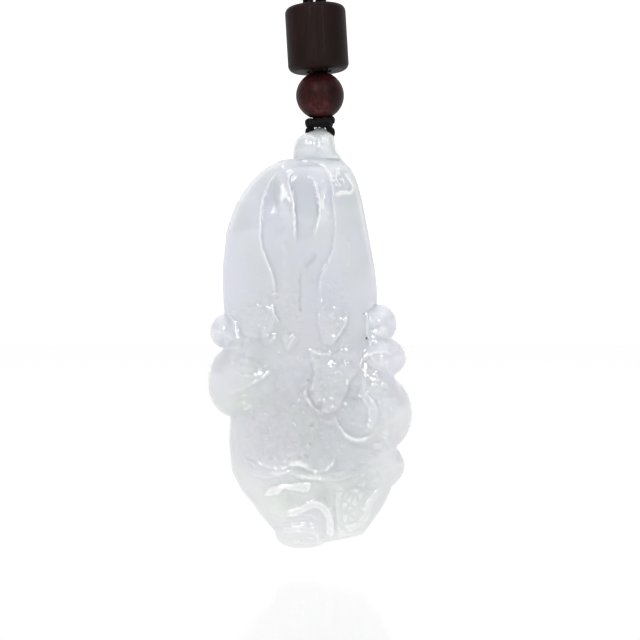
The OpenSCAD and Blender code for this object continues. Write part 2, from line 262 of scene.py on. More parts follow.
neck_way = smooth_way(
    strand_in_barrel(1) + strand_route(1) + [Vector((0, 0, 0))]
    + strand_route(-1)[::-1] + strand_in_barrel(-1)[::-1], 0.32 * MM)
neck_cord = piece("neck_cord_laid", laid_cord(neck_way, strand_r, strand_lay), black_cord,
                  "necklace", "neck_cord")


# The thin cord through the stone
# One thread of two waxed plies goes across through the stone's bore and up both sides of the
# nose of stone over it. Its two legs run side by side through both knots and the round bead.
loop_d = 0.9 * MM
loop_lay = 2.2 * MM
loop_r = 0.49 * MM                           # to the crowns of its two plies
leg_x = loop_top.x - loop_d / 2              # each leg, beside the nose
pair_x = loop_d / 2 + 1.2 * seat_gap         # each leg, once they run side by side
low_knot_low, low_knot_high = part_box("lower_knot")
pair_z = low_knot_high.z - bore.z - 0.36 * MM
draw_z = 0.72 * MM                           # over this height the legs are drawn together


def leg_way(side):
    """Half of the thin cord, from the middle of the bore to its upper end."""
    stops = [
        (0, 0), (0.5 * leg_x, 0), (0.82 * leg_x, 0.05 * draw_z), (leg_x, 0.3 * draw_z), (leg_x, draw_z),
        (0.8 * leg_x, 1.6 * draw_z), (0.6 * leg_x, 0.3 * draw_z + 0.7 * pair_z), (pair_x, pair_z),
        (pair_x, pair_z + 2 * MM), (pair_x, loop_top.z - bore.z),
    ]
    return [bore + Vector((side * x, 0, z)) for x, z in stops]


thread_way = smooth_way(leg_way(-1)[::-1] + leg_way(1)[1:], 0.09 * MM)
hanging_loop = piece("thin_cord", laid_cord(thread_way, loop_r, loop_lay, plies=2, sides=10, plump=0.7),
                     black_cord, "necklace", "hanging_loop")


# The two knots
# Turns of the same thread, drawn tight round the two legs: one knot sits on the stone under the
# round bead, and a smaller one fills the mouth of the barrel bead.
def turns_round_legs(low, high, width, depth, thread_r, lay, turns, tilt, start=0.6, sides=10):
    """Thread wound round the two legs, from a knot's lower end to its upper one."""
    s = np.linspace(0, 1, int(60 * turns) + 1)
    turn = 2 * math.pi * turns * s + start
    x = (width / 2 - thread_r) * np.cos(turn)
    y = (depth / 2 - thread_r) * np.sin(turn)
    z = low + thread_r + (high - low - 2 * thread_r) * s + tilt * x
    return laid_cord(np.stack([x, y + bore.y, z], axis=1), thread_r, lay, plies=2, sides=sides, plump=0.62)


low_knot_w, low_knot_t = 3.9 * MM, 3.1 * MM
heart_w, heart_t = 3.3 * MM, 2.5 * MM        # the inner turns, which show between the outer ones
knot_thread_r = 0.42 * MM
knot_lay = 1.7 * MM
sweep_top = bore.z + 1.13 * MM               # how high the stone's top reaches while it rocks
outer_turns = turns_round_legs(low_knot_low.z + 0.02 * MM, low_knot_high.z - 0.02 * MM, low_knot_w,
                               low_knot_t, knot_thread_r, knot_lay, 2.4, 0.1)
inner_turns = turns_round_legs(sweep_top, low_knot_high.z - 0.3 * MM, heart_w, heart_t,
                               knot_thread_r, knot_lay, 1.8, -0.03, 1.4 * math.pi)
lower_knot = piece("lower_knot_turns", outer_turns + inner_turns, black_cord,
                   "necklace", "lower_knot")

mid_knot_low, mid_knot_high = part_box("middle_knot")
mid_knot_w = 2.56 * MM
mid_turns = turns_round_legs(mid_knot_low.z, mid_knot_high.z, mid_knot_w, mid_knot_w, 0.3 * MM, 1.3 * MM,
                             2.5, 0.06, sides=8)
middle_knot = piece("middle_knot_turns", mid_turns, black_cord, "necklace", "middle_knot")


# The round bead
# A ball of red-brown wood, turned and drilled along its grain, with a soft wax sheen.
round_mid = (round_low + round_high) / 2
round_r = (round_high.x - round_low.x) / 2
round_bore_r = pair_x + loop_d / 2 + seat_gap


def turned_bead(profile, segments, axis, foot):
    """A bead turned from a closed outline of (radius, height) points round an axis."""
    z = Vector(axis)
    x = Vector((1, 0, 0)) - z * z.x
    x.normalize()
    y = z.cross(x)
    outline = np.array(profile, float)[:, None]
    turn = np.linspace(0, 2 * math.pi, segments, endpoint=False)[:, None]
    ring = np.cos(turn) * np.array(x) + np.sin(turn) * np.array(y)
    points = np.array(foot) + outline[..., :1] * ring + outline[..., 1:] * np.array(z)
    return points.reshape(-1, 3), ring_faces(len(profile), segments, closed=True)


def rounded(corner, start, end, radius, steps=7):
    """Points of an arc that rounds a corner of an outline between two directions, in degrees."""
    angles = np.radians(np.linspace(start, end, steps))
    return [(corner[0] + radius * math.cos(a), corner[1] + radius * math.sin(a)) for a in angles]


mouth = 0.16 * MM                            # the rounding of the bore's two lips
lip_r = round_bore_r + mouth
lip_tilt = math.asin(lip_r / (round_r - mouth))
lip_z = (round_r - mouth) * math.cos(lip_tilt)
lip_turn = math.degrees(lip_tilt) - 10
ball_end = math.degrees(lip_tilt) - 90
round_profile = (
    rounded((0, 0), ball_end, -ball_end, round_r, 61)
    + rounded((lip_r, lip_z), 90 - lip_turn, 180, mouth)
    + [(round_bore_r, lip_z * f) for f in (0.5, 0, -0.5)]
    + rounded((lip_r, -lip_z), 180, 270 + lip_turn, mouth)
)

red_wood, wood = finish("red_wood", {"Roughness": 0.5, "Specular IOR Level": 0.12, "Coat Weight": 0.025,
                                     "Coat Roughness": 0.2})
grain = wood.noise(2600, 5, 0.65, 0.22)
figure = wood.work("MULTIPLY_ADD", wood.noise(330, 4, 0.6), 0.8, wood.work("MULTIPLY", grain, 0.2))
wood.dress(wood.ramp(figure, (0.4, (0.012, 0.0035, 0.003)), (0.48, (0.024, 0.004, 0.004)),
                     (0.56, (0.044, 0.007, 0.008)), (0.68, (0.10, 0.028, 0.028))), grain, 0.35, 0.06 * MM)
round_bead = piece("round_bead_turned", [turned_bead(round_profile, 96, (0, 0, 1), round_mid)], red_wood,
                   "necklace", "round_bead")


# The barrel bead
# A short dark barrel of the same kind of wood, with rounded shoulders and flat ends. It leans a
# little to the left and tips back, so its lower end shows round the cord.
barrel_r = 3.8 * MM
barrel_bore_r = 1.57 * MM
shoulder = 0.9 * MM
rim = 0.15 * MM
barrel_profile = (
    rounded((barrel_bore_r + rim, rim), 180, 270, rim, 5)
    + rounded((barrel_r - shoulder, shoulder), 270, 360, shoulder, 13)
    + [(barrel_r, barrel_h * f) for f in (0.25, 0.5, 0.75)]
    + rounded((barrel_r - shoulder, barrel_h - shoulder), 0, 90, shoulder, 13)
    + rounded((barrel_bore_r + rim, barrel_h - rim), 90, 180, rim, 5)
    + [(barrel_bore_r, barrel_h * f) for f in (0.75, 0.5, 0.25)]
)

dark_wood, wood = finish("dark_wood", {"Roughness": 0.55, "Specular IOR Level": 0.11, "Coat Weight": 0.015,
                                       "Coat Roughness": 0.12})
grain = wood.noise(2200, 5, 0.6, 0.12)
figure = wood.work("MULTIPLY", wood.work("ADD", grain, wood.noise(330, 2, squeeze=0.12)), 0.5)
wood.dress(wood.ramp(figure, (0.36, (0.010, 0.006, 0.0045)), (0.5, (0.012, 0.005, 0.0045)),
                     (0.66, (0.024, 0.008, 0.008))), grain, 0.3, 0.06 * MM)
barrel_bead = piece("barrel_bead_turned", [turned_bead(barrel_profile, 112, barrel_axis, barrel_foot)],
                    dark_wood, "necklace", "barrel_bead")


# The jade stone
# One piece of icy, faintly lavender jadeite, carved as a cabbage: a root knob with the bore, then
# smooth stalks that overlap, then curled and ruffled leaves. It is cut, undercut and polished.
leaf_h, leaf_w, leaf_t = 48.5, 25.4, 10.4    # millimetres, as are all lengths of the carving
knob_h, knob_w, knob_t = 4.0, 6.2, 4.8
nose_r = 1.2
knob_foot = knob_h - nose_r                  # how far the leaf body starts under the bore

# Columns: depth as a share of knob_h, left and right as shares of knob_w, half thickness of knob_t
knob_rows = np.array([
    (0.00, 0.09, 0.09, 0.03), (0.03, 0.11, 0.11, 0.11), (0.08, 0.14, 0.14, 0.18),
    (0.15, 0.27, 0.21, 0.30), (0.22, 0.38, 0.26, 0.37), (0.28, 0.43, 0.29, 0.42),
    (0.37, 0.48, 0.30, 0.46), (0.53, 0.52, 0.32, 0.48), (0.70, 0.55, 0.34, 0.50),
    (0.88, 0.55, 0.42, 0.48), (1.00, 0.52, 0.43, 0.46),
])

# Columns: depth down, left, right, half thickness, in percent of leaf_h, leaf_w, leaf_w and leaf_t
leaf_rows = np.array([
    (0, 17.8, 10.5, 25), (1.5, 25, 14, 32), (4, 31, 17, 38), (7, 36, 19, 42), (11, 41, 21, 46),
    (18, 46, 23.5, 49), (28, 48, 27, 50), (34, 47.8, 28.2, 50), (38, 47.5, 28, 50), (44, 46, 30, 49),
    (55, 44, 36.5, 47), (66, 44, 38.5, 45), (72, 44.8, 38.5, 43), (80, 43.5, 37, 40),
    (85, 38.6, 34.8, 37), (88, 33.6, 32.2, 35), (91, 29.8, 28.6, 32), (95, 23, 23, 26),
    (97, 20, 20.5, 20), (98, 17, 4, 16), (100, 10.5, -7.5, 9),
])

# Leaf lobes and curls that stand out past the body's sides. Columns, in the same percents: across,
# down, half width, half height, how square their outline is, half thickness, lift to the front
lobes = [
    (29.5, 42.2, 8.4, 4.9, 2.0, 22, 10),
    (31.2, 50.8, 11.3, 5.1, 2.0, 27, 12),
    (25.3, 65.2, 20.1, 10.6, 2.1, 37, 4),
    (26.8, 78.6, 14.9, 6.7, 1.9, 28, 2),
    (-46.4, 44.1, 7.8, 4.4, 2.0, 20, 10),
    (-37.8, 57, 17.2, 9.4, 2.4, 34, 6),
    (-8.6, 96.0, 13.3, 3.9, 2.2, 22, 4),
]

# Webs of stone that fill the front between one lobe and the next, with the lobes' columns
webs = [
    (29, 47.3, 6.3, 8.0, 2.0, 24, 6),
    (27, 59.0, 13.0, 10.0, 2.0, 36, 5),
    (32, 73.8, 6.2, 5.5, 2.0, 26, 2),
    (-38, 51.0, 12.0, 10.0, 2.0, 33, 6),
]


def soft(d, column, s=1.0):
    """A column of the leaf body's table at a depth, rounded off between its rows."""
    reads = [np.interp(d + k * s, leaf_rows[:, 0], leaf_rows[:, column]) for k in (-1, -0.5, 0, 0.5, 1)]
    return (reads[0] + 2 * reads[1] + 2 * reads[2] + 2 * reads[3] + reads[4]) / 8


def lobe_reach(d, side):
    """How far the leaf body reaches to one side at a depth, lobes and all."""
    most = soft(d, 1 if side < 0 else 2)
    for a, down, half_w, half_h, power, _, _ in lobes:
        t = np.minimum(1, np.abs(d - down) / half_h)
        half = half_w * (1 - t ** power) ** (1 / power)
        most = np.where(t < 1, np.maximum(most, half + side * a), most)
    return most


def step(x):
    """Rises smoothly from 0 at 0 to 1 at 1."""
    x = np.clip(x, 0, 1)
    return x * x * (3 - 2 * x)


def dome(r):
    return np.sqrt(np.clip(1 - np.clip(r, 0, 1) ** 2.6, 0, 1))


def join_over(a, b, blend):
    """The higher of two surfaces, with a rounded joint of a given width."""
    near = np.clip(0.5 + 0.5 * (a - b) / blend, 0, 1)
    return b * (1 - near) + a * near + blend * near * (1 - near)


def bulk(a, d):
    """Rounded bulk of the body and its lobes, as a depth in millimetres."""
    left, right = soft(d, 1), soft(d, 2)
    smoothing = np.minimum(4.0, 0.3 + 0.25 * np.minimum(d, 100 - d))     # less towards both ends
    body = soft(d, 3, smoothing) * dome(np.abs(2 * a + left - right) / (left + right))
    for across, down, half_w, half_h, power, half_t, _ in webs + lobes:
        r = ((np.abs(a - across) / half_w) ** power + (np.abs(d - down) / half_h) ** power) ** (1 / power)
        body = join_over(body, half_t * dome(r), 14)
    return body / 100 * leaf_t


def rough(across, down, size, seed, octaves=3):
    """Soft irregular noise, from about -1 to 1, with lumps of a given size."""
    flat = zip(across.ravel() / size, down.ravel() / size)
    made = [noise.fractal((x, y, seed), 1.0, 2.1, octaves) for x, y in flat]
    return np.array(made).reshape(across.shape)


class Sheet:
    """The carver's cuts, on a sheet of points across and down from the bore, in millimetres, with the light
    and shade painted along them.
    """

    def __init__(self, across, down):
        shake = 0.09                         # the tool's own small wander
        self.a = across + shake * rough(across, down, 0.8, 21.0, 2)
        self.t = down + shake * rough(across, down, 0.8, 25.0, 2)
        self.wear = np.clip(0.8 + 0.9 * rough(across, down, 1.1, 31.0, 2), 0.3, 1.5)
        self.rise = np.zeros_like(across)    # how far each point stands over the plain body
        self.painted_shading = np.zeros_like(across)    # painted light that makes its stone paler, or painted shade where under 0

    def follow(self, points, far, ends=1.0):
        """The points near a curve, how far to its right each is, and a taper to the curve's ends."""
        line = smooth_way(points, 0.2)
        low, high = line.min(0) - far, line.max(0) + far
        near = (self.a > low[0]) & (self.a < high[0]) & (self.t > low[1]) & (self.t < high[1])
        px, py = self.a[near], self.t[near]
        best = np.full(px.shape, 1e9)
        side = np.ones_like(px)
        share = np.zeros_like(px)
        legs = len(line) - 1
        for k in range(legs):
            (x0, y0), (x1, y1) = line[k], line[k + 1]
            dx, dy = x1 - x0, y1 - y0
            f = np.clip(((px - x0) * dx + (py - y0) * dy) / (dx * dx + dy * dy), 0, 1)
            gap = np.hypot(px - x0 - f * dx, py - y0 - f * dy)
            closer = gap < best
            turn = dx * (py - y0) - dy * (px - x0)
            side = np.where(closer, np.sign(turn), side)
            share = np.where(closer, (k + f) / legs, share)
            best = np.where(closer, gap, best)
        return near, best * side, step(share / ends) * step((1 - share) / ends)

    def edge(self, points, rise, lip, reach, raised, ends=0.12, sharp=0.14, painted_glint=0.04):
        """A leaf's edge: one side stands over the other, with a polished lip and a cut at its foot. A painted
        highlight runs along the lip.
        """
        far = 4.0
        near, gap, taper = self.follow(points, far, ends)
        gap = gap * raised
        over = step(0.5 + gap / (2 * sharp))
        up = rise * over * np.exp(-np.maximum(gap, 0) / reach) * (1 - step(gap / far))
        cut = -0.3 * rise * (1 - over) * np.exp(-np.maximum(-gap, 0) / 0.6) * (1 - step(-gap / far))
        roll = lip * np.exp(-((gap - 0.13) / 0.12) ** 2)
        self.rise[near] += taper * (up + cut + roll * self.wear[near])
        self.painted_shading[near] += painted_glint * taper * self.wear[near] * np.exp(-((gap - 0.12) / 0.12) ** 2)

    def ridge(self, points, rise, width, ends=0.15, painted_glint=0.0):
        """A raised rib, or a groove where its rise is under 0, with a painted highlight along its crest, or
        painted shade where that paint is under 0.
        """
        near, gap, taper = self.follow(points, 3 * width + 0.2, ends)
        crest = taper * self.wear[near] * np.exp(-(gap / width) ** 2)
        self.rise[near] += rise * crest
        self.painted_shading[near] += painted_glint * crest

    def ring(self, a, t, half_a, half_t, rise, width, ends, count):
        """A rib that closes on itself."""
        turns = np.linspace(0, 2 * math.pi, count)
        self.ridge([(a + half_a * math.cos(k), t + half_t * math.sin(k)) for k in turns], rise, width, ends)

    def marks(self, width, *strokes, painted_glint=0.0):
        """Short straight tool marks, which can carry a painted highlight or painted shade. Each is across,
        down, across, down and its rise.
        """
        for x0, y0, x1, y1, rise in strokes:
            self.ridge([(x0, y0), (x1, y1)], rise, width, 0.3, painted_glint)

    def band(self, points, rise, half_width, lip, ends=0.1, painted_shading=0.06):
        """A flat strip that stands up, with a polished lip along both its sides and painted light over the
        strip.
        """
        near, gap, taper = self.follow(points, half_width + 1.5, ends)
        off = np.abs(gap) - half_width * (0.35 + 0.65 * taper)
        flat = step(0.5 - off / 0.3)
        self.rise[near] += taper * (rise * flat + lip * self.wear[near] * np.exp(-(off / 0.16) ** 2)
                                    - 0.3 * rise * np.exp(-((off - 0.4) / 0.3) ** 2))
        self.painted_shading[near] += painted_shading * taper * flat

    def leaf(self, points, rise, crown, root=None, tip=None, sharp=0.3, painted_shading=0.0):
        """A leaf that lies on the others, inside a closed outline, which can carry painted light over its
        flat. It grows out of them at its root.
        """
        closed = list(points) + [points[0]]
        near, gap, _ = self.follow(closed, 2.5)
        px, py = self.a[near], self.t[near]
        inside = np.zeros(gap.shape, bool)
        line = smooth_way(closed, 0.2)
        for (x0, y0), (x1, y1) in zip(line[:-1], line[1:]):
            crosses = (y0 > py) != (y1 > py)
            with np.errstate(divide="ignore", invalid="ignore"):
                at = x0 + (py - y0) / (y1 - y0) * (x1 - x0)
            inside ^= crosses & (px < at)
        deep = np.where(inside, np.abs(gap), -np.abs(gap))
        grow = 1.0
        if root is not None:
            way = np.subtract(tip, root)
            grow = step(((px - root[0]) * way[0] + (py - root[1]) * way[1]) / way.dot(way))
        flat = step(0.5 + deep / (2 * sharp))
        up = rise * flat + crown * (1 - np.exp(-np.maximum(deep, 0) / 0.9))
        cut = -0.3 * rise * (deep < 0) * np.exp(deep / 0.5)
        self.rise[near] += grow * (up + cut)
        self.painted_shading[near] += painted_shading * grow * flat

    def from_place(self, a, t, half_a, half_t, lean):
        """Across and down from a place, as shares of two half sizes that lean by some degrees."""
        c, s = math.cos(math.radians(lean)), math.sin(math.radians(lean))
        x = (self.a - a) * c + (self.t - t) * s
        y = (self.t - t) * c - (self.a - a) * s
        return x / half_a, y / half_t

    def bump(self, a, t, half_a, half_t, rise, lean=0.0):
        """A rounded swelling, or a hollow where its rise is under 0."""
        x, y = self.from_place(a, t, half_a, half_t, lean)
        r = np.clip(1 - x ** 2 - y ** 2, 0, 1)
        self.rise += rise * r * np.sqrt(r)

    def hollow(self, a, t, half_a, half_t, deep, painted_shade=0.0, lean=0.0):
        """A shallow dish, with painted shade that makes it a little darker than the stone round it."""
        into = step(1 - np.hypot(*self.from_place(a, t, half_a, half_t, lean)))
        self.rise -= deep * into
        self.painted_shading -= painted_shade * into

    def patch(self, low_a, high_a, low_t, high_t, fade):
        """1 inside an oblong patch, and less towards its sides."""
        return (step((self.a - low_a) / fade) * step((high_a - self.a) / fade)
                * step((self.t - low_t) / fade) * step((high_t - self.t) / fade))


def cells(across, down, size, seed):
    """0 on the borders of irregular cells, and up to about 1 in their middles."""
    near = [noise.voronoi((x, y, seed))[0] for x, y in zip(across.ravel() / size, down.ravel() / size)]
    return np.array([far[1] - far[0] for far in near]).reshape(across.shape)


def creases(across, down, seed):
    """Fine wandering ridges, 1 on their crests and 0 between them."""
    bend = rough(across, down, 2.6, seed, 2)
    wave = rough(across + 0.5 * bend, down * 1.5 + 0.4 * bend, 1.7, seed + 4, 2)
    return np.clip(1 - np.abs(wave) * 7, 0, 1) ** 1.5


def carve_stalks(front):
    """The smooth upper half: two pairs of stalks over a middle trough, and the cut dent on the right."""
    front.edge([(-4.6, 4), (-5.4, 4.8), (-6.4, 6.3), (-7.1, 8.6), (-7.25, 12.1), (-6.9, 14.3), (-5.9, 16.8),
        (-5.5, 18.6), (-5.6, 20.4)], 0.24, 0.07, 3, 1, 0.14, painted_glint=0.02)
    front.edge([(-2.7, 3.9), (-3.7, 5.2), (-3.6, 6.6), (-3.2, 8.3), (-3, 10.6), (-2.95, 13.6)], 0.42, 0.2,
        1.5, 1, 0.3, painted_glint=0.1)
    front.edge([(-1.3, 4.9), (-0.6, 6.2), (-0.15, 8), (-0.2, 9.6), (-0.4, 10.9), (-0.95, 12.6)], 0.42, 0.18,
        1.4, -1, 0.3, painted_glint=0.08)
    front.edge([(-2.4, 2.95), (-1.4, 3.05), (0.35, 3.7), (1.1, 5.1), (1.5, 6.5), (1.7, 8.8), (1.85, 11.1),
        (1.65, 13.1), (1.1, 15.3), (0.4, 16.6), (-0.15, 18), (-0.15, 20.2)], 0.19, 0.03, 2.8, -1, 0.1, 0.2,
        0)
    front.bump(-4.6, 7.6, 1, 3.4, 0.32, -8)
    front.bump(0.6, 8.6, 0.85, 3, 0.28, 4)
    # Marks and thin leaves with painted highlights, the glints at the tops of the stalks
    front.marks(0.14, (-4.85, 3.75, -4.35, 3.75, 0.12), (-4.6, 3.45, -4.6, 4.05, 0.12),
        (-1.4, 5, -1.3, 5.3, 0.1), (-2.4, 2.95, -1.4, 3.1, 0.06), painted_glint=0.3)
    front.marks(0.13, (-4.3, 4.6, -3.4, 4.1, 0.12), (-4.2, 5.2, -3.2, 4.3, 0.1),
        (-3.6, 5.8, -2.9, 4.9, 0.1), (-3.7, 5.5, -3.45, 6.4, 0.08), (-3.5, 6.5, -3.15, 8.4, 0.06),
        painted_glint=0.38)
    front.leaf([(-4.95, 6.4), (-4.5, 6), (-4.2, 6.9), (-3.6, 8.3), (-4.3, 7.7), (-4.8, 8.2)], 0.05, 0.03,
        sharp=0.2, painted_shading=0.2)
    front.leaf([(-0.8, 5.6), (-0.1, 6.8), (-0.1, 8.8), (-0.6, 7.4)], 0.08, 0.04, sharp=0.14, painted_shading=0.06)
    front.marks(0.1, (-0.7, 6, -0.5, 6.3, 0.08), (-0.75, 6.6, -0.3, 6.5, 0.08), (-0.6, 7, -0.2, 7.3, 0.08),
        (-0.55, 7.6, -0.15, 7.5, 0.08), (-0.4, 8.1, -0.2, 8.6, 0.08), painted_glint=0.28)
    front.leaf([(0.1, 7.8), (0.5, 8.2), (0.4, 9.1), (0.05, 8.8)], 0.04, 0.03, sharp=0.2, painted_shading=0.18)

    # The dent in the right stalk, a cut with sharp sides, with painted highlights along its edges and marks
    front.bump(2.6, 5.5, 1.15, 1.5, -0.4, -22)
    front.edge([(3, 4.6), (3.75, 5.8), (3.95, 6.7), (2.9, 6.95), (1.75, 7.15)], 0.22, 0.18, 0.6, -1, 0.12,
        0.1, 0.4)
    front.edge([(2.45, 3.7), (2.15, 5.2), (2.75, 6.1)], 0.16, 0.14, 0.5, 1, 0.15, 0.1, 0.2)
    front.marks(0.12, (1.3, 5.4, 2, 5.6, 0.14), (1.8, 5.9, 2.7, 6.3, 0.12), (0.6, 3.9, 1.2, 4.7, 0.12),
        (1.1, 4.5, 1.6, 5.3, 0.12), (2.4, 3.9, 2.35, 4.9, 0.12), (2.7, 5.2, 2.3, 5.5, 0.1),
        (1.2, 5, 1.9, 5, 0.1), (1.9, 7.1, 3.6, 6.8, 0.08), (0.2, 3.3, 1.5, 5, 0.08),
        (3.1, 5.9, 2.7, 5, 0.1), painted_glint=0.42)

    # Nicks and strokes down the stalks, the two grooves with painted shade
    front.ridge([(-0.6, 14.2), (-0.9, 15.1), (-2, 16.3)], -0.1, 0.3, painted_glint=-0.12)
    front.ridge([(-2.5, 16.4), (-2.5, 19), (-2.4, 22)], -0.1, 0.2, painted_glint=-0.12)
    front.ridge([(-4.6, 11), (-4.4, 15), (-4.1, 20)], 0.1, 0.6)
    front.ridge([(3.5, 12.8), (3.6, 14.4), (3.5, 16.4)], 0.1, 0.2)
    front.marks(0.13, (-9.1, 15.3, -8.7, 15.7, 0.1), (-7.8, 17.4, -7.5, 17.8, 0.08),
        (0.9, 15.9, 1.4, 15.1, 0.16), (-1.3, 17.9, -0.6, 18, -0.16), (0.1, 18.2, 0.3, 19.4, 0.1),
        (1, 18.2, 1.1, 19.2, 0.1), (3, 16.9, 3.1, 18.2, 0.06), (-6.2, 19.7, -4.9, 19.5, 0.14),
        (-5.9, 20.2, -5.1, 20.6, 0.12))
    front.edge([(-5.75, 20.9), (-5.6, 21.8), (-5.2, 22.6), (-4.9, 23.1)], 0.2, 0.12, 0.8, 1, 0.2)


def carve_middle(front):
    """The small leaves between the curls, the long blade under them and its crinkled tip."""
    front.leaf([(0.1, 17.3), (1.25, 15.6), (3.1, 14.4), (3.9, 17.2), (4, 20.3), (3.4, 22.8), (2.75, 24.3),
        (1.4, 25.9), (0.25, 25.3), (-0.25, 22.8), (-0.4, 20.3)], 0.16, 0.22, (1.8, 18), (1.5, 25))
    front.edge([(3.5, 21.6), (3.3, 23.2), (2.7, 24.3), (1.3, 26.1)], 0.16, 0.12, 0.8, 1, 0.2)
    front.marks(0.13, (0, 20.6, 0.5, 20.4, 0.16), (0.15, 21.4, 0.6, 20.9, 0.16), (-0.3, 22.6, 0, 22, 0.12),
        (1.6, 21.2, 2.6, 21.4, 0.1), (1, 22.3, 1.9, 22.6, 0.1), (1.9, 23.4, 2.4, 23.2, 0.1),
        (0.6, 24.1, 1.4, 24.4, 0.08), (1, 25, 1.8, 24.7, 0.1), (-1, 21, -0.5, 21.4, 0.08))
    front.leaf([(-10, 21.5), (-8.1, 20.3), (-6.2, 20.8), (-5.6, 22.4), (-5.9, 24.2), (-7.4, 25),
        (-9.2, 24.6)], 0.12, 0.16, (-8.3, 20.4), (-7.4, 24))
    front.leaf([(-7.25, 24.1), (-5.8, 23.4), (-5.2, 24.3), (-5.9, 25.5), (-6.7, 25.9), (-7.25, 25.3)], 0.14,
        0.12, (-5.6, 23.4), (-6.6, 25.2))
    front.leaf([(-4.4, 24), (-3.1, 23.2), (-2.5, 24.4), (-3.2, 26), (-4.1, 26.6), (-4.6, 25.3)], 0.14, 0.14,
        (-3.2, 23.4), (-3.9, 25.6))
    front.ridge([(-6.3, 25.7), (-5.8, 25.1), (-5.2, 24.8)], 0.26, 0.26, 0.3)
    front.ridge([(-3.05, 24.5), (-3.5, 25.3), (-4, 26.4)], 0.22, 0.2, 0.25)
    front.marks(0.13, (-9.3, 21.4, -8.3, 21.2, 0.12), (-8, 20.9, -7.4, 21.3, 0.1),
        (-7.9, 23.6, -7.2, 23.2, 0.12), (-9.6, 25.2, -8.6, 25.3, 0.12), (-8.5, 25.3, -7.9, 24.8, 0.12),
        (-6.9, 22.6, -6.5, 22.9, 0.1), (-5, 25.4, -4.5, 24.6, 0.08), (-2.4, 23.8, -1.9, 24.5, 0.08))
    for ring_r, up in ((0.86, 0.12), (0.42, 0.08)):
        front.ring(-1.9, 27.4, ring_r, ring_r, up, 0.18, 0.05, 9)

    # The blade, with its upper rim rolled over, and the dark notch at its left
    front.leaf([(-1.3, 26.4), (0.4, 27.1), (1.6, 26.9), (3.1, 25.9), (4, 24.6), (5, 24.9), (5.1, 26.6),
        (4.5, 29.3), (3.75, 30.3), (3.25, 31.8), (2.6, 33.3), (1.75, 34.1), (0.5, 34.2), (-0.6, 33.1),
        (-1.3, 31.6), (-0.8, 29.7), (-1, 27.8)], 0.26, 0.14, (2.4, 24), (1.5, 31))
    front.ridge([(-1.3, 26.4), (-0.4, 26.8), (0.5, 27.05), (1.6, 26.9)], 0.26, 0.22, 0.2)
    front.ridge([(0.1, 27.5), (0.6, 27.7), (1.1, 27.4)], 0.08, 0.16, 0.3, 0.06)
    front.ridge([(-1.3, 31.2), (-0.8, 32.2), (-0.2, 33.1), (0.3, 34)], -0.3, 0.36)
    front.ridge([(-1.8, 31.3), (-1.75, 32.2), (-1.1, 33.2), (-0.2, 34.1), (0.6, 34.5)], 0.24, 0.22)
    front.ridge([(0.5, 33.3), (1.2, 33.6), (2, 33.4)], 0.22, 0.2, 0.25)
    front.marks(0.12, (3.3, 29.9, 3.35, 31, 0.12), (-0.2, 32.4, 0, 32.8, 0.1), painted_glint=0.35)
    front.marks(0.14, (0.6, 31.8, 0.9, 31.9, 0.14), (1.6, 30.3, 2, 30.5, 0.12),
        (0.7, 30.4, 1.1, 30.9, -0.12), (2.2, 29.2, 2.7, 29.4, 0.12), (0.4, 32.4, 0.6, 32.9, 0.12),
        (1, 32.6, 1.7, 32.5, 0.12), (-1.5, 30, -1.4, 30.6, -0.2), (3, 28.6, 3.5, 28.2, 0.1))


def carve_left(front):
    """The left curl with its ring, the pocket under it, and the crinkled edge of the big left leaf."""
    front.bump(-12.2, 24.1, 1.9, 2.2, -0.2)
    front.bump(-12.45, 24.1, 0.8, 0.95, 0.12)
    front.leaf([(-12.45, 23.3), (-11.8, 24), (-12.4, 24.9), (-13.1, 24.2)], 0.03, 0.03, sharp=0.4,
        painted_shading=0.02)
    front.ring(-12.45, 24.1, 1, 1.15, 0.1, 0.17, 0.03, 13)
    front.edge([(-13.9, 23.6), (-13.2, 22.3), (-12.1, 21.9), (-11.2, 22.1), (-10.5, 23.1), (-10.2, 24.4),
        (-10.2, 25.6)], 0.2, 0.14, 0.7, 1, 0.12, painted_glint=0.08)
    front.marks(0.13, (-10.8, 21.6, -10.6, 21.8, 0.1), (-6.6, 24.6, -6.3, 24.8, 0.1), painted_glint=0.3)
    # The pocket under the curl, a shallow dish with painted shade
    front.hollow(-7.7, 26.7, 2.9, 2.7, 0.07, 0.12)
    front.bump(-10.7, 26, 1, 2, 0.22, 8)
    front.marks(0.16, (-10.9, 27.7, -10.75, 28.3, 0.1), (-8, 29.4, -7.75, 29.7, 0.1), painted_glint=0.28)
    front.ridge([(-10.8, 28.4), (-10.5, 29.1), (-9.6, 29.6), (-8.4, 29.75), (-7.6, 29.6), (-6.9, 29.3)],
        0.08, 0.13, 0.1, 0.12)
    front.edge([(-5.9, 28.9), (-6.5, 29.6), (-7.9, 30.5), (-9.2, 31.3), (-10.6, 31.9), (-11.6, 32.3)], 0.12,
        0.08, 1.6, 1, 0.1)
    front.ridge([(-6.2, 29.2), (-7.2, 30.1), (-8.6, 30.8)], 0.1, 0.14, painted_glint=0.06)
    front.bump(-9.3, 33.3, 1.3, 0.9, 0.22)
    front.marks(0.15, (-10.4, 33.6, -9.8, 32.9, 0.18), (-9.8, 32.9, -9.1, 33.1, 0.18),
        (-9.6, 33.9, -8.7, 33.6, 0.18), (-9, 33.2, -8.4, 33.7, 0.18), (-9.9, 32.3, -8.9, 31.9, 0.14),
        (-8.8, 34.2, -8.3, 34, 0.12), painted_glint=0.09)
    front.marks(0.14, (-12.4, 32.6, -12.3, 33.5, 0.07), (-11.6, 32.8, -11.6, 33.6, 0.07),
        (-12.9, 31, -12.6, 32, 0.06))


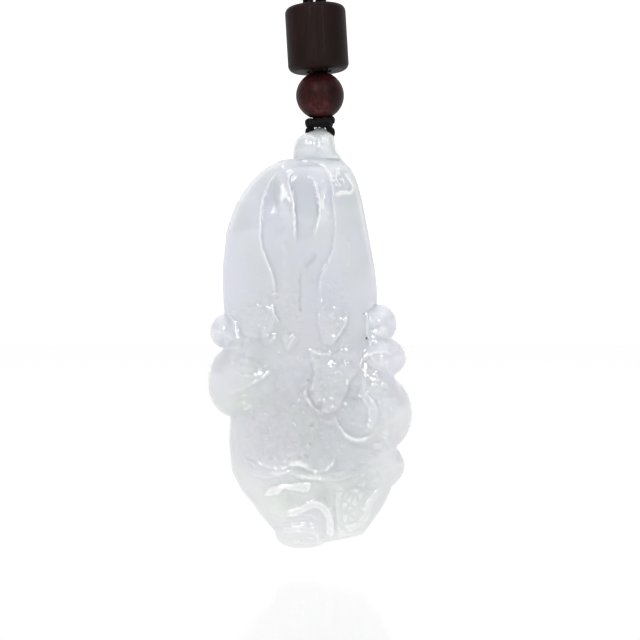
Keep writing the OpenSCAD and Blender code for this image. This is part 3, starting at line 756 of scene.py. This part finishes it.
def carve_right(front):
    """The two right curls, the s-shaped rolled rim, and the deep bowl that it runs into."""
    front.bump(7, 23.5, 1.3, 0.6, -0.24, -16)
    front.leaf([(6.3, 24.5), (7.4, 23.95), (8.1, 23.5), (8.4, 23.9), (8.4, 24.9), (7.9, 24.9), (7.2, 24.6)],
        0.18, 0.08, sharp=0.16, painted_shading=0.12)
    front.edge([(5.8, 21.6), (5.75, 23), (5.8, 24.4), (6.3, 25.6)], 0.16, 0.1, 0.9, -1, 0.15)
    front.marks(0.12, (6.2, 22.2, 6.35, 23.1, 0.12), (7.7, 21.7, 7.75, 22.6, 0.12),
        (8.1, 21.7, 8.15, 22.6, 0.12), (6, 21.2, 6.6, 20.9, 0.1), (6.3, 21.6, 6.8, 22, 0.1), painted_glint=0.24)
    # Two cut strokes with painted shade in them
    front.marks(0.13, (6.2, 23.8, 6.9, 24.1, -0.14), (7, 23.6, 7.6, 23.3, -0.12), painted_glint=-0.15)
    front.edge([(5, 28.9), (5.3, 28), (5.7, 27.5), (6.6, 27.05), (7.9, 26.85), (9, 26.9)], 0.24, 0.1, 0.9,
        -1, 0.15)
    # A patch of painted shade, without depth, under the second curl
    front.hollow(7.2, 29.3, 1.9, 1.7, 0, 0.08, 24)
    front.bump(9.2, 28.3, 1.4, 1.3, 0.26)
    front.edge([(8.5, 27.2), (8.2, 28.2), (8.5, 29.3), (9.3, 29.9)], 0.12, 0.1, 0.6, -1, 0.2)
    front.marks(0.13, (7.8, 25.9, 8.8, 25.7, 0.1), (8.2, 26.2, 8.9, 26.1, 0.1), (5.6, 27.9, 5.9, 27.4, 0.1),
        (6.2, 27.5, 6.5, 27, 0.1), (8.1, 26.85, 9, 26.9, 0.06), painted_glint=0.22)
    front.marks(0.14, (6.4, 30.9, 7, 30.6, 0.12), (7, 30.6, 7.4, 31.1, 0.12), (7.5, 31.1, 8.1, 30.4, 0.12),
        (8.1, 30.4, 8.5, 31.3, 0.12), (6.6, 31.6, 7.4, 31.5, 0.1), (7.8, 31.8, 8.4, 31.6, 0.1), painted_glint=0.08)
    front.leaf([(5.1, 28.6), (5.15, 30.4), (4.75, 31.9), (5.35, 32.8), (5.85, 33.7), (6, 35), (5.75, 35.9),
        (6.3, 36.1), (6.95, 35.5), (7.25, 34.4), (6.95, 33.3), (6.2, 32.3), (5.75, 31.4), (5.65, 30.2),
        (5.55, 28.8)], 0.2, 0.08, (5.3, 28.4), (5.6, 33), 0.22)
    front.ridge([(5.6, 31.4), (6.2, 32.3), (6.9, 33.3), (7.2, 34.4)], 0.1, 0.15, 0.2, 0.1)
    front.ridge([(4.75, 31.9), (5.35, 32.8), (5.8, 33.7)], 0.1, 0.14, 0.2)
    front.marks(0.13, (4.6, 31.8, 5, 32.5, 0.1), (5.7, 35.5, 6.1, 35.8, 0.1), (5.9, 35.1, 6.4, 35.3, 0.1),
        painted_glint=0.2)
    front.hollow(3.9, 33.2, 2.2, 4.4, 0.32, 0.06, -14)
    front.bump(4.05, 35.5, 0.4, 0.4, 0.12)
    front.edge([(1.6, 33.9), (2.1, 35), (2.6, 36), (3.3, 36.9), (4.3, 37.4), (5.5, 37.3), (6.5, 36.7),
        (7, 35.9)], 0.26, 0.1, 0.9, 1, 0.3, 0.22)
    front.band([(2.3, 35.6), (3.1, 36.9), (4.3, 37.6), (5.6, 37.5), (6.6, 36.9)], 0.08, 0.26, 0.04, 0.35,
        0.08)
    front.ridge([(3.6, 36.6), (4.6, 37), (5.8, 36.6), (6.7, 35.9)], 0.16, 0.2, 0.2)
    front.ridge([(7.3, 32.5), (9, 32.4), (10.4, 32)], 0.12, 0.2, 0.25)
    front.ridge([(7.6, 33.6), (8.3, 36), (8, 38)], 0.1, 0.3, 0.25)
    front.marks(0.14, (8.6, 33.4, 9, 34.2, 0.08), (8.4, 35.2, 8.8, 35.6, 0.08), (8.2, 36.6, 8.6, 37.2, 0.1),
        (9.4, 34.6, 9.6, 35.4, 0.06), (7.6, 36.4, 8, 36.9, 0.08), (7.9, 34.2, 8.2, 34.9, 0.07),
        (9.8, 33.2, 10.1, 33.7, 0.06), (9, 36.9, 9.5, 36.5, 0.07), (7.4, 37.2, 8.3, 37.6, 0.08),
        (10.1, 35.6, 10.2, 36.3, 0.05), (7, 33, 7.6, 32.8, 0.07), painted_glint=0.05)
    front.bump(7.2, 38.4, 1, 0.55, 0.3, -12)
    front.marks(0.15, (6.4, 38, 7.2, 38.3, 0.16), (7, 38.7, 8.2, 38.9, 0.16))


def carve_waves(front):
    """The wavy rims across the lower leaves, each leaf over the next, down to the lowest lobe."""
    front.edge([(-9.6, 39.7), (-8.2, 40.1), (-7.2, 40.8), (-6, 41.2), (-4.6, 41.25), (-3.3, 40.9),
        (-2.2, 41), (-1.2, 41.5), (-0.3, 41.7), (0.5, 41.4), (1.3, 41), (1.8, 40.2), (2.1, 39.3)], 0.17,
        0.05, 0.8, -1, 0.08, 0.2, 0)
    front.edge([(-9.4, 41.6), (-8, 42.2), (-6.4, 42.4), (-5, 42.1), (-3.8, 41.8), (-2.8, 42.3),
        (-1.8, 42.5), (0.4, 42.7), (2.6, 42.6), (4.8, 42)], 0.12, 0.04, 0.6, -1, 0.1, 0.2, 0)
    # Flat strips along the rim, with painted light over them
    front.band([(-4.2, 40.75), (-3.2, 40.5), (-2.2, 40.6), (-1, 41.1)], 0.08, 0.3, 0.02, 0.3, 0.13)
    front.band([(-6.6, 41.8), (-5, 41.6), (-3.6, 41.3)], 0.06, 0.25, 0.02, 0.3, 0.1)
    front.band([(-3.6, 42), (-1.6, 42.15), (0.8, 42.2)], 0.05, 0.22, 0.02, 0.3, 0.1)
    front.marks(0.15, (-7.8, 40.3, -7.1, 40.9, 0.14), (0.5, 41.5, 1.3, 40.9, 0.14),
        (-0.75, 41.9, -0.4, 41.3, 0.14), (1.3, 41, 1.7, 40.3, 0.1), (0.9, 41.2, 1.1, 40.8, 0.1),
        (-4.9, 41.2, -4, 40.9, 0.1), (-5.8, 41, -5.2, 41.3, 0.1), (-0.2, 42.6, 0.2, 42.1, 0.1), painted_glint=0.2)
    front.leaf([(-6.9, 44.6), (-6.25, 43.6), (-4.5, 43.2), (-1.5, 42.95), (-1.2, 43.5), (-1.75, 44.1),
        (-3, 43.95), (-4.5, 43.8), (-5.3, 44.5)], 0.16, 0.05, sharp=0.18, painted_shading=0.09)
    front.hollow(-3.9, 45.1, 2, 1.1, 0.22, 0.05)
    front.hollow(0.5, 44.5, 1.7, 1.9, 0.26, 0.14)
    for lower in (0.4, 0.8):
        front.ridge([(-6.4, 40.9 + lower), (-4.6, 41.3 + lower), (-3, 41 + lower), (-1.2, 41.5 + lower),
            (0.2, 41.6 + lower), (2.4, 41.2 + lower), (4.6, 40.9 + lower)], 0.1, 0.13, 0.2)
    front.edge([(-8, 41.4), (-8.6, 40.6), (-9.8, 40.2)], 0.1, 0.08, 0.5, 1, 0.3)
    for across, down, deep in ((-3.7, 39.9, 0.12), (-2.5, 40, 0.12), (-1.75, 39.5, 0.14), (-5.2, 39.9, 0.1),
            (-4.4, 40.3, -0.2), (-6, 39.9, 0.15)):
        front.bump(across, down, 0.38, 0.3, -deep)
    front.band([(-4.6, 46.85), (-3.4, 46.7), (-2.4, 46.3), (-1.4, 45.75), (-0.3, 45.7), (0.65, 46.3),
        (1.1, 47.3), (1.3, 48.4), (1.2, 49.5), (0.7, 50)], 0.2, 0.42, 0.05, 0.1)
    for drop in (0, 0.5, 1, 1.5, 2):
        front.ridge([(-5, 47.4 + drop * 0.9), (-3.6, 47.1 + drop), (-2, 47 + drop), (-0.9, 47.2 + drop),
            (0.1, 47.9 + drop * 0.9)], 0.1, 0.16, 0.2)
    front.marks(0.2, (-5.4, 48.8, -4.6, 48.9, -0.2), (-2.9, 50.1, -2.6, 50.6, 0.2),
        (-2.3, 50, -2.4, 50.4, -0.16), (-1.6, 49.5, -1.5, 50, 0.18), (-1, 49.7, -0.9, 50.2, 0.16),
        (-0.3, 49.4, -0.2, 50.4, 0.2), (0.4, 49.6, 0.1, 50.4, -0.2), (-3.4, 49.9, -3, 50.9, 0.14))
    front.ridge([(1.85, 43.2), (1.75, 44.8), (1.8, 46.8), (1.95, 49.4)], -0.2, 0.22, 0.15)
    front.band([(8.4, 43.7), (7.2, 44.3), (6.5, 45.2), (5.9, 46), (5.9, 47.1), (5.1, 48), (4, 48.6),
        (2.8, 48.8)], 0.16, 0.42, 0.05, 0.12)
    front.ridge([(1.8, 49.4), (3.2, 49.5), (4.8, 49.4)], 0.14, 0.16, 0.2)
    front.ridge([(2, 49), (3, 49.15), (4.4, 49.05)], 0.12, 0.14, 0.2)

    # Strokes along the right side, hatching on the left
    for drop in (0, 0.4, 0.8, 1.15, 1.5):
        front.ridge([(3.9 + drop * 0.3, 38.8 + drop), (5.4, 38.9 + drop), (6.9, 39.3 + drop)], 0.13, 0.13,
            0.3)
    for drop in (0, 0.45, 0.9, 1.3):
        front.marks(0.12, (-7.1, 37.1 + drop, -5.5, 37 + drop, 0.12))
    front.marks(0.14, (-10, 37.5, -10.5, 38.9, 0.16), (-9.6, 38.2, -9.2, 39.1, 0.14),
        (-10.9, 36.4, -10.6, 37.8, 0.12), (4.1, 41.4, 4.3, 41.7, 0.2), (7.2, 41.1, 7.6, 41.3, 0.18),
        (5.6, 42.2, 6.6, 42, 0.16), (6.2, 42.9, 7.6, 42.4, 0.16), (7.9, 42.3, 8.6, 42, 0.18),
        (4.6, 43.4, 5.6, 43, 0.14), (6.9, 45.4, 7.5, 46, 0.12), (7.2, 45.2, 7.7, 45.7, 0.12),
        (6.8, 45.9, 7.2, 46.3, 0.1), (-3.8, 35.1, -2.8, 36, 0.2), (-2.8, 32.7, -2.6, 32.9, 0.2),
        (-3.9, 30.8, -3.7, 31, 0.16), (-1.2, 35.6, -0.9, 36.2, -0.3), (-2.3, 34.1, -1.9, 34.4, 0.14),
        (-0.2, 36.8, 0.5, 36.6, 0.12), (-1.4, 37.9, -0.8, 38.4, -0.16), (-3.3, 38, -2.6, 38.3, 0.12),
        (0.6, 38.6, 1.4, 38.2, 0.1))


def carve(front):
    """All the cuts on the stone's front, from the stalks at the top to the lowest leaf, with the highlights
    and shade painted along them.
    """
    for part in (carve_stalks, carve_middle, carve_left, carve_right, carve_waves):
        part(front)

    # A net of small cells on the low right, whose middles stand a little higher, with painted light on their
    # middles and painted shade on their borders
    lace = cells(front.a, front.t, 0.95, 3.0)
    net = front.patch(1.9, 6.4, 42.9, 49.2, 0.9)
    front.rise += (net * (0.16 * step(lace / 0.55) - 0.1)
                   + front.patch(3.4, 9.2, 40.6, 44.2, 1.0) * (0.1 * step(lace / 0.5) - 0.05))
    front.painted_shading += 0.05 * net * (step(lace / 0.5) - 0.2)

    # What the hand leaves uneven. Columns: a patch's four sides and how wide it fades, then how
    # high its lumps, its fine grain and its creases stand
    lumps = rough(front.a, front.t, 1.5, 5.0)
    fine = rough(front.a, front.t, 0.65, 9.0)
    lines = creases(front.a, front.t, 11.0)
    for *patch, lump, grain, crease in (
            (-11, 10.5, 26, 50.5, 2, 0.12, 0, 0), (-9.5, 3, 30, 41.5, 1.6, 0, 0.05, 0.04),
            (-1.5, 4.5, 17, 34, 1.5, 0, 0.03, 0.05), (-10.5, -1, 18, 27, 2, 0, 0.04, 0.05),
            (5.5, 12, 29, 40, 1.5, 0, 0.06, 0.05), (5.6, 10.6, 20.8, 29.5, 1.2, 0.12, 0.05, 0),
            (-14.2, -9.8, 21, 28, 1.2, 0.1, 0.03, 0)):
        front.rise += front.patch(*patch) * (lump * lumps + grain * fine + crease * lines)
    front.rise += 0.05 * rough(front.a, front.t, 4.5, 2.0, 2)

    # Small chance bumps and dents, the highest of them with a painted glint
    chance = np.random.default_rng(7)
    count = 90
    for across, down, rise in zip(chance.uniform(-9, 4, count), chance.uniform(20, 41, count),
                                  chance.uniform(-1, 1, count)):
        front.bump(across, down, 0.2, 0.17, 0.07 * rise)
        if rise > 0.3:
            front.marks(0.08, (across, down, across + 0.12, down + 0.06, 0.03), painted_glint=0.35 * rise)


# Rows of points down the stone, closer together over the leaves and where its outline runs sideways
leaf_row_count, knob_row_count = 352, 34
front_count, back_count = 206, 50
lowest = 99.75                               # the last row, in percent, just over the tip
fine_d = np.linspace(0, lowest, 4000)
row_need = np.interp(fine_d[1:], [0, 28, 38, 100], [0.75, 0.75, 1, 1])
sideways = sum(np.abs(np.diff(lobe_reach(fine_d, side))) for side in (-1, 1))
outline_run = np.concatenate([[0], np.cumsum(
    np.diff(fine_d) * leaf_h / 100 * row_need + 0.35 * sideways * leaf_w / 100)])
leaf_d = np.interp(np.linspace(0, outline_run[-1], leaf_row_count), outline_run, fine_d)
knob_k = np.linspace(0, 1, knob_row_count, endpoint=False) ** 1.15
inner = 0.84                                 # share of the columns that keep to the body, inside the lobes


def spread(count):
    """From -1 to 1, a little closer together towards both ends."""
    j = np.linspace(0, 1, count + 1)
    return 0.2 * -np.cos(math.pi * j) + 0.8 * (2 * j - 1)


def leaf_grid(count):
    """Across in percent, depth in percent and place between the sides, for each row and column."""
    u, d = np.meshgrid(spread(count), leaf_d)
    side = np.sign(u)
    middle = np.interp(d, (90, 97), (0, lobes[-1][0]))       # bends to the lowest lobe
    body = np.where(u < 0, soft(d, 1, 2.0), soft(d, 2, 2.0)) - side * middle
    reach = np.where(u < 0, lobe_reach(d, -1), lobe_reach(d, 1)) - side * middle
    body = np.minimum(body, reach)
    out = np.clip((np.abs(u) - inner) / (1 - inner), 0, 1)
    return middle + side * (body * np.minimum(np.abs(u), inner) + (reach - inner * body) * out), d, u


def side_points(across, down, depth, u, front, painted_shading):
    """Points and painted shading of the front or back, which meet at the stone's sides."""
    depth = np.where(np.abs(u) >= 1, 0, depth) * (1 if front else -1)
    return np.stack([across, -depth, -down, painted_shading], axis=-1)


def leaf_points(count, front):
    a, d, u = leaf_grid(count)
    across, down = a / 100 * leaf_w, knob_foot + d / 100 * leaf_h
    depth = bulk(a, d)
    painted_shading = np.zeros_like(a)
    if front:
        cuts = Sheet(across, down)
        carve(cuts)
        painted_shading = cuts.painted_shading
        lift = np.zeros_like(a)              # the highest of the lobes' lifts, with soft joints
        for x, t, half_w, half_h, _, _, rise in webs + lobes:
            r = np.clip(1 - ((a - x) / half_w) ** 2 - ((d - t) / half_h) ** 2, 0, 1)
            lift += (rise / 100 * leaf_t * r * r) ** 4
        shoulder = 0.45 * (1 - step(d / 3))
        depth = depth + (cuts.rise + lift ** 0.25 - shoulder) * (1 - np.abs(u) ** 8)
    else:
        # Plain long ribs over the upper half of the back, and a slightly uneven lower half
        rib = np.cos(across * 1.05 + 0.4) * 0.16 + 0.12 * np.cos(across * 0.45 - 0.8)
        depth = depth + rib * (1 - step((down - 20) / 10)) * (1 - u ** 6)
        depth = depth + 0.1 * rough(across, down, 3.0, 7.0) * step((down - 20) / 6) * (1 - u ** 6)
    return side_points(across, down, np.maximum(0.012 * leaf_t, depth), u, front, painted_shading)


def knob_points(count, front):
    u, k = np.meshgrid(spread(count), knob_k)
    left, right, half = (np.interp(k, knob_rows[:, 0], knob_rows[:, c]) for c in (1, 2, 3))
    a = (right - left) / 2 + (right + left) / 2 * u
    across, down = a * knob_w, -nose_r + k * knob_h
    depth = half * np.sqrt(1 - np.abs(u) ** 5) * knob_t
    painted_shading = np.zeros_like(a)
    if front:
        cuts = Sheet(across, down)
        painted_shading = cuts.painted_shading
        cuts.bump(-1.45, 0.9, 1.6, 1.9, 0.24)
        cuts.bump(1.35, 0.7, 1.3, 2.0, 0.24)
        # Crescents over the two bumps, with painted highlights
        cuts.ridge([(-2.1, 0.3), (-1.8, -0.05), (-1.35, -0.18), (-0.85, 0.1), (-0.55, 0.7)],
                   0.1, 0.15, 0.2, 0.55)
        cuts.ridge([(-1.95, 0.7), (-1.6, 0.85), (-1.0, 0.8)], 0.1, 0.15, 0.2, 0.5)
        cuts.ridge([(0.2, 0.8), (0.3, 0.3), (0.8, -0.3)], 0.1, 0.14, 0.2, 0.5)
        cuts.ridge([(0.6, 0.5), (0.7, 0.1)], 0.08, 0.13, 0.3, 0.26)
        cuts.ridge([(-0.1, -0.6), (0.0, 0.4), (-0.2, 1.6)], -0.08, 0.35)
        cuts.bump(-0.25, 1.75, 0.22, 0.22, -0.14)
        depth = depth + cuts.rise * (1 - np.abs(u) ** 6) * step(k / 0.2)
    return side_points(across, down, depth, u, front, painted_shading)


def mean_round(heights, reach):
    """The mean of each point's neighbours, up to a number of rows and columns away."""
    span = 2 * reach + 1
    rows, columns = heights.shape
    wide = np.pad(heights, reach, mode="edge")
    wide = sum(wide[k:k + rows] for k in range(span)) / span
    return sum(wide[:, k:k + columns] for k in range(span)) / span


front_side, back_side = (
    np.vstack([knob_points(count, front), leaf_points(count, front)])
    for count, front in ((front_count, True), (back_count, False))
)
back_side = back_side[:, -2:0:-1]
rings = np.concatenate([front_side, back_side], axis=1)
row_count, ring_count = rings.shape[:2]
end = list(range(ring_count))
low_ring = [(row_count - 1) * ring_count + k for k in end]
stone_faces = [[a, d, c, b] for a, b, c, d in ring_faces(row_count, ring_count)] + [end, low_ring[::-1]]
stone_points = rings[:, :, :3].reshape(-1, 3) * MM + np.array(bore)

# How far each point stands over its neighbours, and the light and shade painted along the cuts, which
# together give the painted shading: paler crests, darker hollows
relief = -front_side[:, :, 1]
painted_shading_amount = relief - mean_round(relief, 3) + front_side[:, :, 3]
painted_shading_amount *= 1 - np.abs(spread(front_count)) ** 6
painted_shading_amount = np.concatenate([painted_shading_amount, np.zeros(back_side.shape[:2])], axis=1)

jade, ice = finish("lavender_jade", {
    "Roughness": 0.12, "IOR": 1.62, "Subsurface Weight": 1, "Subsurface Scale": 0.0045,
    "Subsurface Radius": (1, 0.95, 0.95), "Coat Weight": 0.6, "Coat Roughness": 0.06, "Coat IOR": 1.6})
place = ice.add("TexCoord", out="Object")
height = ice.add("SeparateXYZ", {"Vector": place}, out="Z")
to_front = ice.add("SeparateXYZ", {"Vector": place}, out="Y")

# The tone drifts down the stone in soft clouds, with faint patches of lavender and green
down = ice.add("MapRange", {"Value": height, "From Min": bore.z - 3 * MM, "From Max": bore.z - 50 * MM})
drift = ice.work("MULTIPLY_ADD", ice.noise(110, 3, 0.55), 0.7, -0.35)
body_colour = ice.ramp(
    ice.work("ADD", down, drift), (0.0, (0.61, 0.635, 0.67)), (0.15, (0.69, 0.713, 0.753)),
    (0.35, (0.654, 0.67, 0.725)), (0.62, (0.666, 0.678, 0.706)), (1.0, (0.725, 0.743, 0.742)))
tint = ice.ramp(ice.noise(150, 2), (0.34, (1.0, 0.988, 1.015)), (0.5, (1, 1, 1)), (0.64, (0.988, 1.0, 0.972)))

# Painted highlights on lips and crests and painted shade in hollows, and a painted glow on the stone's thin
# parts, where light would shine through
painted_shading_colour = ice.ramp(
    ice.add("Attribute", out="Fac", attribute_name="painted_shading_amount"), (0.0, (0.87, 0.87, 0.88)),
    (0.5, (1, 1, 1)), (0.6, (1.05, 1.05, 1.05)), (0.8, (1.2, 1.19, 1.18)), (1.0, (1.42, 1.4, 1.37)))
depth_here = ice.work("ABSOLUTE", ice.work("SUBTRACT", to_front, bore.y))
thickness = ice.add("MapRange", {"Value": depth_here, "From Max": leaf_t / 2 * MM})
painted_thin_glow = ice.ramp(thickness, (0.0, (1.15, 1.15, 1.15)), (0.5, (1.11, 1.11, 1.11)),
                     (0.75, (1.05, 1.05, 1.05)), (1.0, (1, 1, 1)))

# Places where the tone differs: two black specks in the stone, a green and a bluish tint, darker patches of
# painted shade over the middle and lower leaves, and paler patches of painted light on the right curl, the
# right lobe and the upper stalks.
# Columns: across, down, radius and tone
specks_tints_and_painted_light = [
    (5.75, 25.05, 0.2, (0.12, 0.1, 0.12)), (5.4, 22.05, 0.13, (0.3, 0.28, 0.3)),
    (-9.3, 33.0, 1.8, (1.0, 1.01, 0.965)), (8.9, 28.4, 3.0, (1.07, 1.07, 1.09)),
    (10, 33, 4.5, (1.04, 1.03, 1.06)), (-3.0, 34.8, 7.0, (0.915, 0.915, 0.92)),
    (2.2, 38.2, 5.2, (0.91, 0.92, 0.94)), (5.6, 33.0, 4.0, (0.98, 0.99, 1.02)),
    (4.6, 42.4, 3.4, (0.93, 0.94, 0.94)), (-9.2, 38.6, 4.5, (0.93, 0.93, 0.94)),
    (0.0, 7.6, 5.0, (1.04, 1.04, 1.04)),
]


def times(one, other):
    """Two colours multiplied."""
    return ice.add("Mix", {0: 1, 6: one, 7: other}, out=2, data_type="RGBA", blend_type="MULTIPLY")


stone_tone = times(times(body_colour, painted_shading_colour), times(painted_thin_glow, tint))
on_front = front_side[:, :, :3].reshape(-1, 3)
for across, deep, radius, tone in specks_tints_and_painted_light:
    nearest = on_front[np.argmin(np.hypot(on_front[:, 0] - across, on_front[:, 2] + deep))]
    off = ice.add("VectorMath", {0: place, 1: bore + Vector(nearest) * MM}, out="Value", operation="DISTANCE")
    reach = ice.add("MapRange", {"Value": off, "From Max": radius * MM})
    stone_tone = times(stone_tone, ice.ramp(reach, (0.4, tone), (1.0, (1, 1, 1))))
ice.dress(stone_tone, ice.noise(900, 3), 0.4, 0.04 * MM)

stone = piece("jade_cabbage", [(stone_points, stone_faces)], jade, "jade", "jade_pendant")
tone = stone.data.attributes.new("painted_shading_amount", "FLOAT", "POINT")
tone.data.foreach_set("value", 0.5 + np.clip(painted_shading_amount.ravel() / 0.5, -0.5, 0.5))


# The stone's bore and the room for the cord's legs
# A hole drilled across under the nose, with a flared slot at each side so that the cord's legs
# clear the stone while it rocks.
rock = math.radians(20)
bore_r = 0.55 * MM
nose_w = 1.7 * MM
past_knob = 6 * MM                           # how far the drills go to each side
slot_foot = bore_r / math.cos(rock) + 0.02 * MM


def drill(name, radius, x_from, x_to):
    way = np.linspace(np.array(bore) + (x_from, 0, 0), np.array(bore) + (x_to, 0, 0), 3)
    return mesh_object(name, *tube(way, radius, 64))


def slot_block(name, side):
    up = (nose_r + knob_h) * MM
    flare = slot_foot + up * math.tan(rock)
    section = [(slot_foot, 0), (flare, up), (-flare, up), (-slot_foot, 0)]
    ends = [side * nose_w / 2, side * (nose_w / 2 + knob_w * MM)]
    points = [bore + Vector((x, y, z)) for x in ends for y, z in section]
    faces = [(0, 1, 2, 3), (7, 6, 5, 4)] + [(k, k + 4, (k + 1) % 4 + 4, (k + 1) % 4) for k in range(4)]
    return mesh_object(name, points, faces if side > 0 else [f[::-1] for f in faces])


tools = [drill("bore_drill", bore_r, -past_knob, past_knob)]
for side in (-1, 1):
    tools.append(drill(f"leg_drill_{side}", slot_foot + 0.05 * MM, side * nose_w / 2, side * 7 * MM))
    tools.append(slot_block(f"leg_slot_{side}", side))
for tool in tools:
    cut = stone.modifiers.new(tool.name, "BOOLEAN")
    cut.operation = "DIFFERENCE"
    cut.solver = "MANIFOLD"
    cut.object = tool
bpy.context.view_layer.update()
cut_mesh = bpy.data.meshes.new_from_object(stone.evaluated_get(bpy.context.evaluated_depsgraph_get()))
stone.modifiers.clear()
stone.data = cut_mesh
for tool in tools:
    bpy.data.objects.remove(tool)
cut_mesh.shade_smooth()
cut_mesh.set_sharp_from_angle(angle=math.radians(70))


# The floor and the light
# A white floor that shines by itself and mirrors faintly, just under the stone's tip, and a white
# surround that is dimmer in front.
floor_gap = 2.2 * MM
floor_z = stone_points[:, 2].min() - floor_gap
floor_half = 3.0
floor = mesh_object("floor", [(x * floor_half, y * floor_half, floor_z)
                              for x, y in ((-1, -1), (1, -1), (1, 1), (-1, 1))], [(0, 1, 2, 3)])
white_floor, ground = finish("white_floor", {})
ground.tree.nodes.remove(ground.end)
lit = ground.add("Emission", {"Strength": 1.025})
gloss = ground.add("BsdfGlossy", {"Roughness": 0.09})
faint = ground.add("MixShader", {"Fac": 0.17, 1: lit, 2: gloss})
ground.put(ground.tree.nodes["Material Output"], {"Surface": faint})
floor.data.materials.append(white_floor)

world = bpy.data.worlds.new("surround")
bpy.context.scene.world = world
world.use_nodes = True
sky = Nodes(world.node_tree, "Background")


def glow(axis, dark_at, bright_at, low, high):
    """Brightness that rises with one axis of the direction looked in."""
    toward = sky.add("SeparateXYZ", {"Vector": sky.add("TexCoord", out="Generated")}, out=axis)
    return sky.add("MapRange", {"Value": toward, "From Min": dark_at, "From Max": bright_at,
                                "To Min": low, "To Max": high}, interpolation_type="SMOOTHSTEP")


# White behind and overhead, a white horizon for what the polish mirrors, and white to the camera
behind_and_over = sky.work("MAXIMUM", glow("Y", 0.1, 0.75, 0.16, 1.15), glow("Z", 0.45, 0.9, 0.16, 1.0))
horizon = sky.work("MULTIPLY", glow("Z", 0.28, 0.07, 0.0, 1.0), sky.add("LightPath", out="Is Glossy Ray"))
around = sky.work("MAXIMUM", behind_and_over, horizon)
seen = sky.add("LightPath", out="Is Camera Ray")
sky.put(sky.end, {"Color": (1, 1, 1, 1), "Strength": sky.work("MAXIMUM", around, seen)})

# Two soft boxes over the camera light only the necklace, so they leave no glare on the floor
aim = bore + Vector((0, 0, -20 * MM))        # the upper middle of the stone
necklace_pieces = bpy.data.collections.new("necklace_pieces")
for thing in (neck_cord, hanging_loop, lower_knot, middle_knot, round_bead, barrel_bead, stone):
    necklace_pieces.objects.link(thing)


def soft_box(name, azimuth, elevation, distance, size, power):
    """A soft box that faces the stone. Azimuth 0 is the camera's side, 90 is to the right."""
    a, e = math.radians(azimuth), math.radians(elevation)
    away = Vector((math.sin(a) * math.cos(e), -math.cos(a) * math.cos(e), math.sin(e)))
    light = bpy.data.lights.new(name, "AREA")
    light.shape = "RECTANGLE"
    light.size, light.size_y = size
    light.energy = power
    lamp = bpy.data.objects.new(name, light)
    lamp.location = aim + away * distance
    lamp.rotation_euler = away.to_track_quat("Z", "Y").to_euler()
    lamp.light_linking.receiver_collection = necklace_pieces
    bpy.context.scene.collection.objects.link(lamp)


soft_box("box_over_left", -24, 32, 0.6, (0.05, 0.3), 1.1)
soft_box("box_over_right", 26, 30, 0.6, (0.04, 0.26), 0.75)
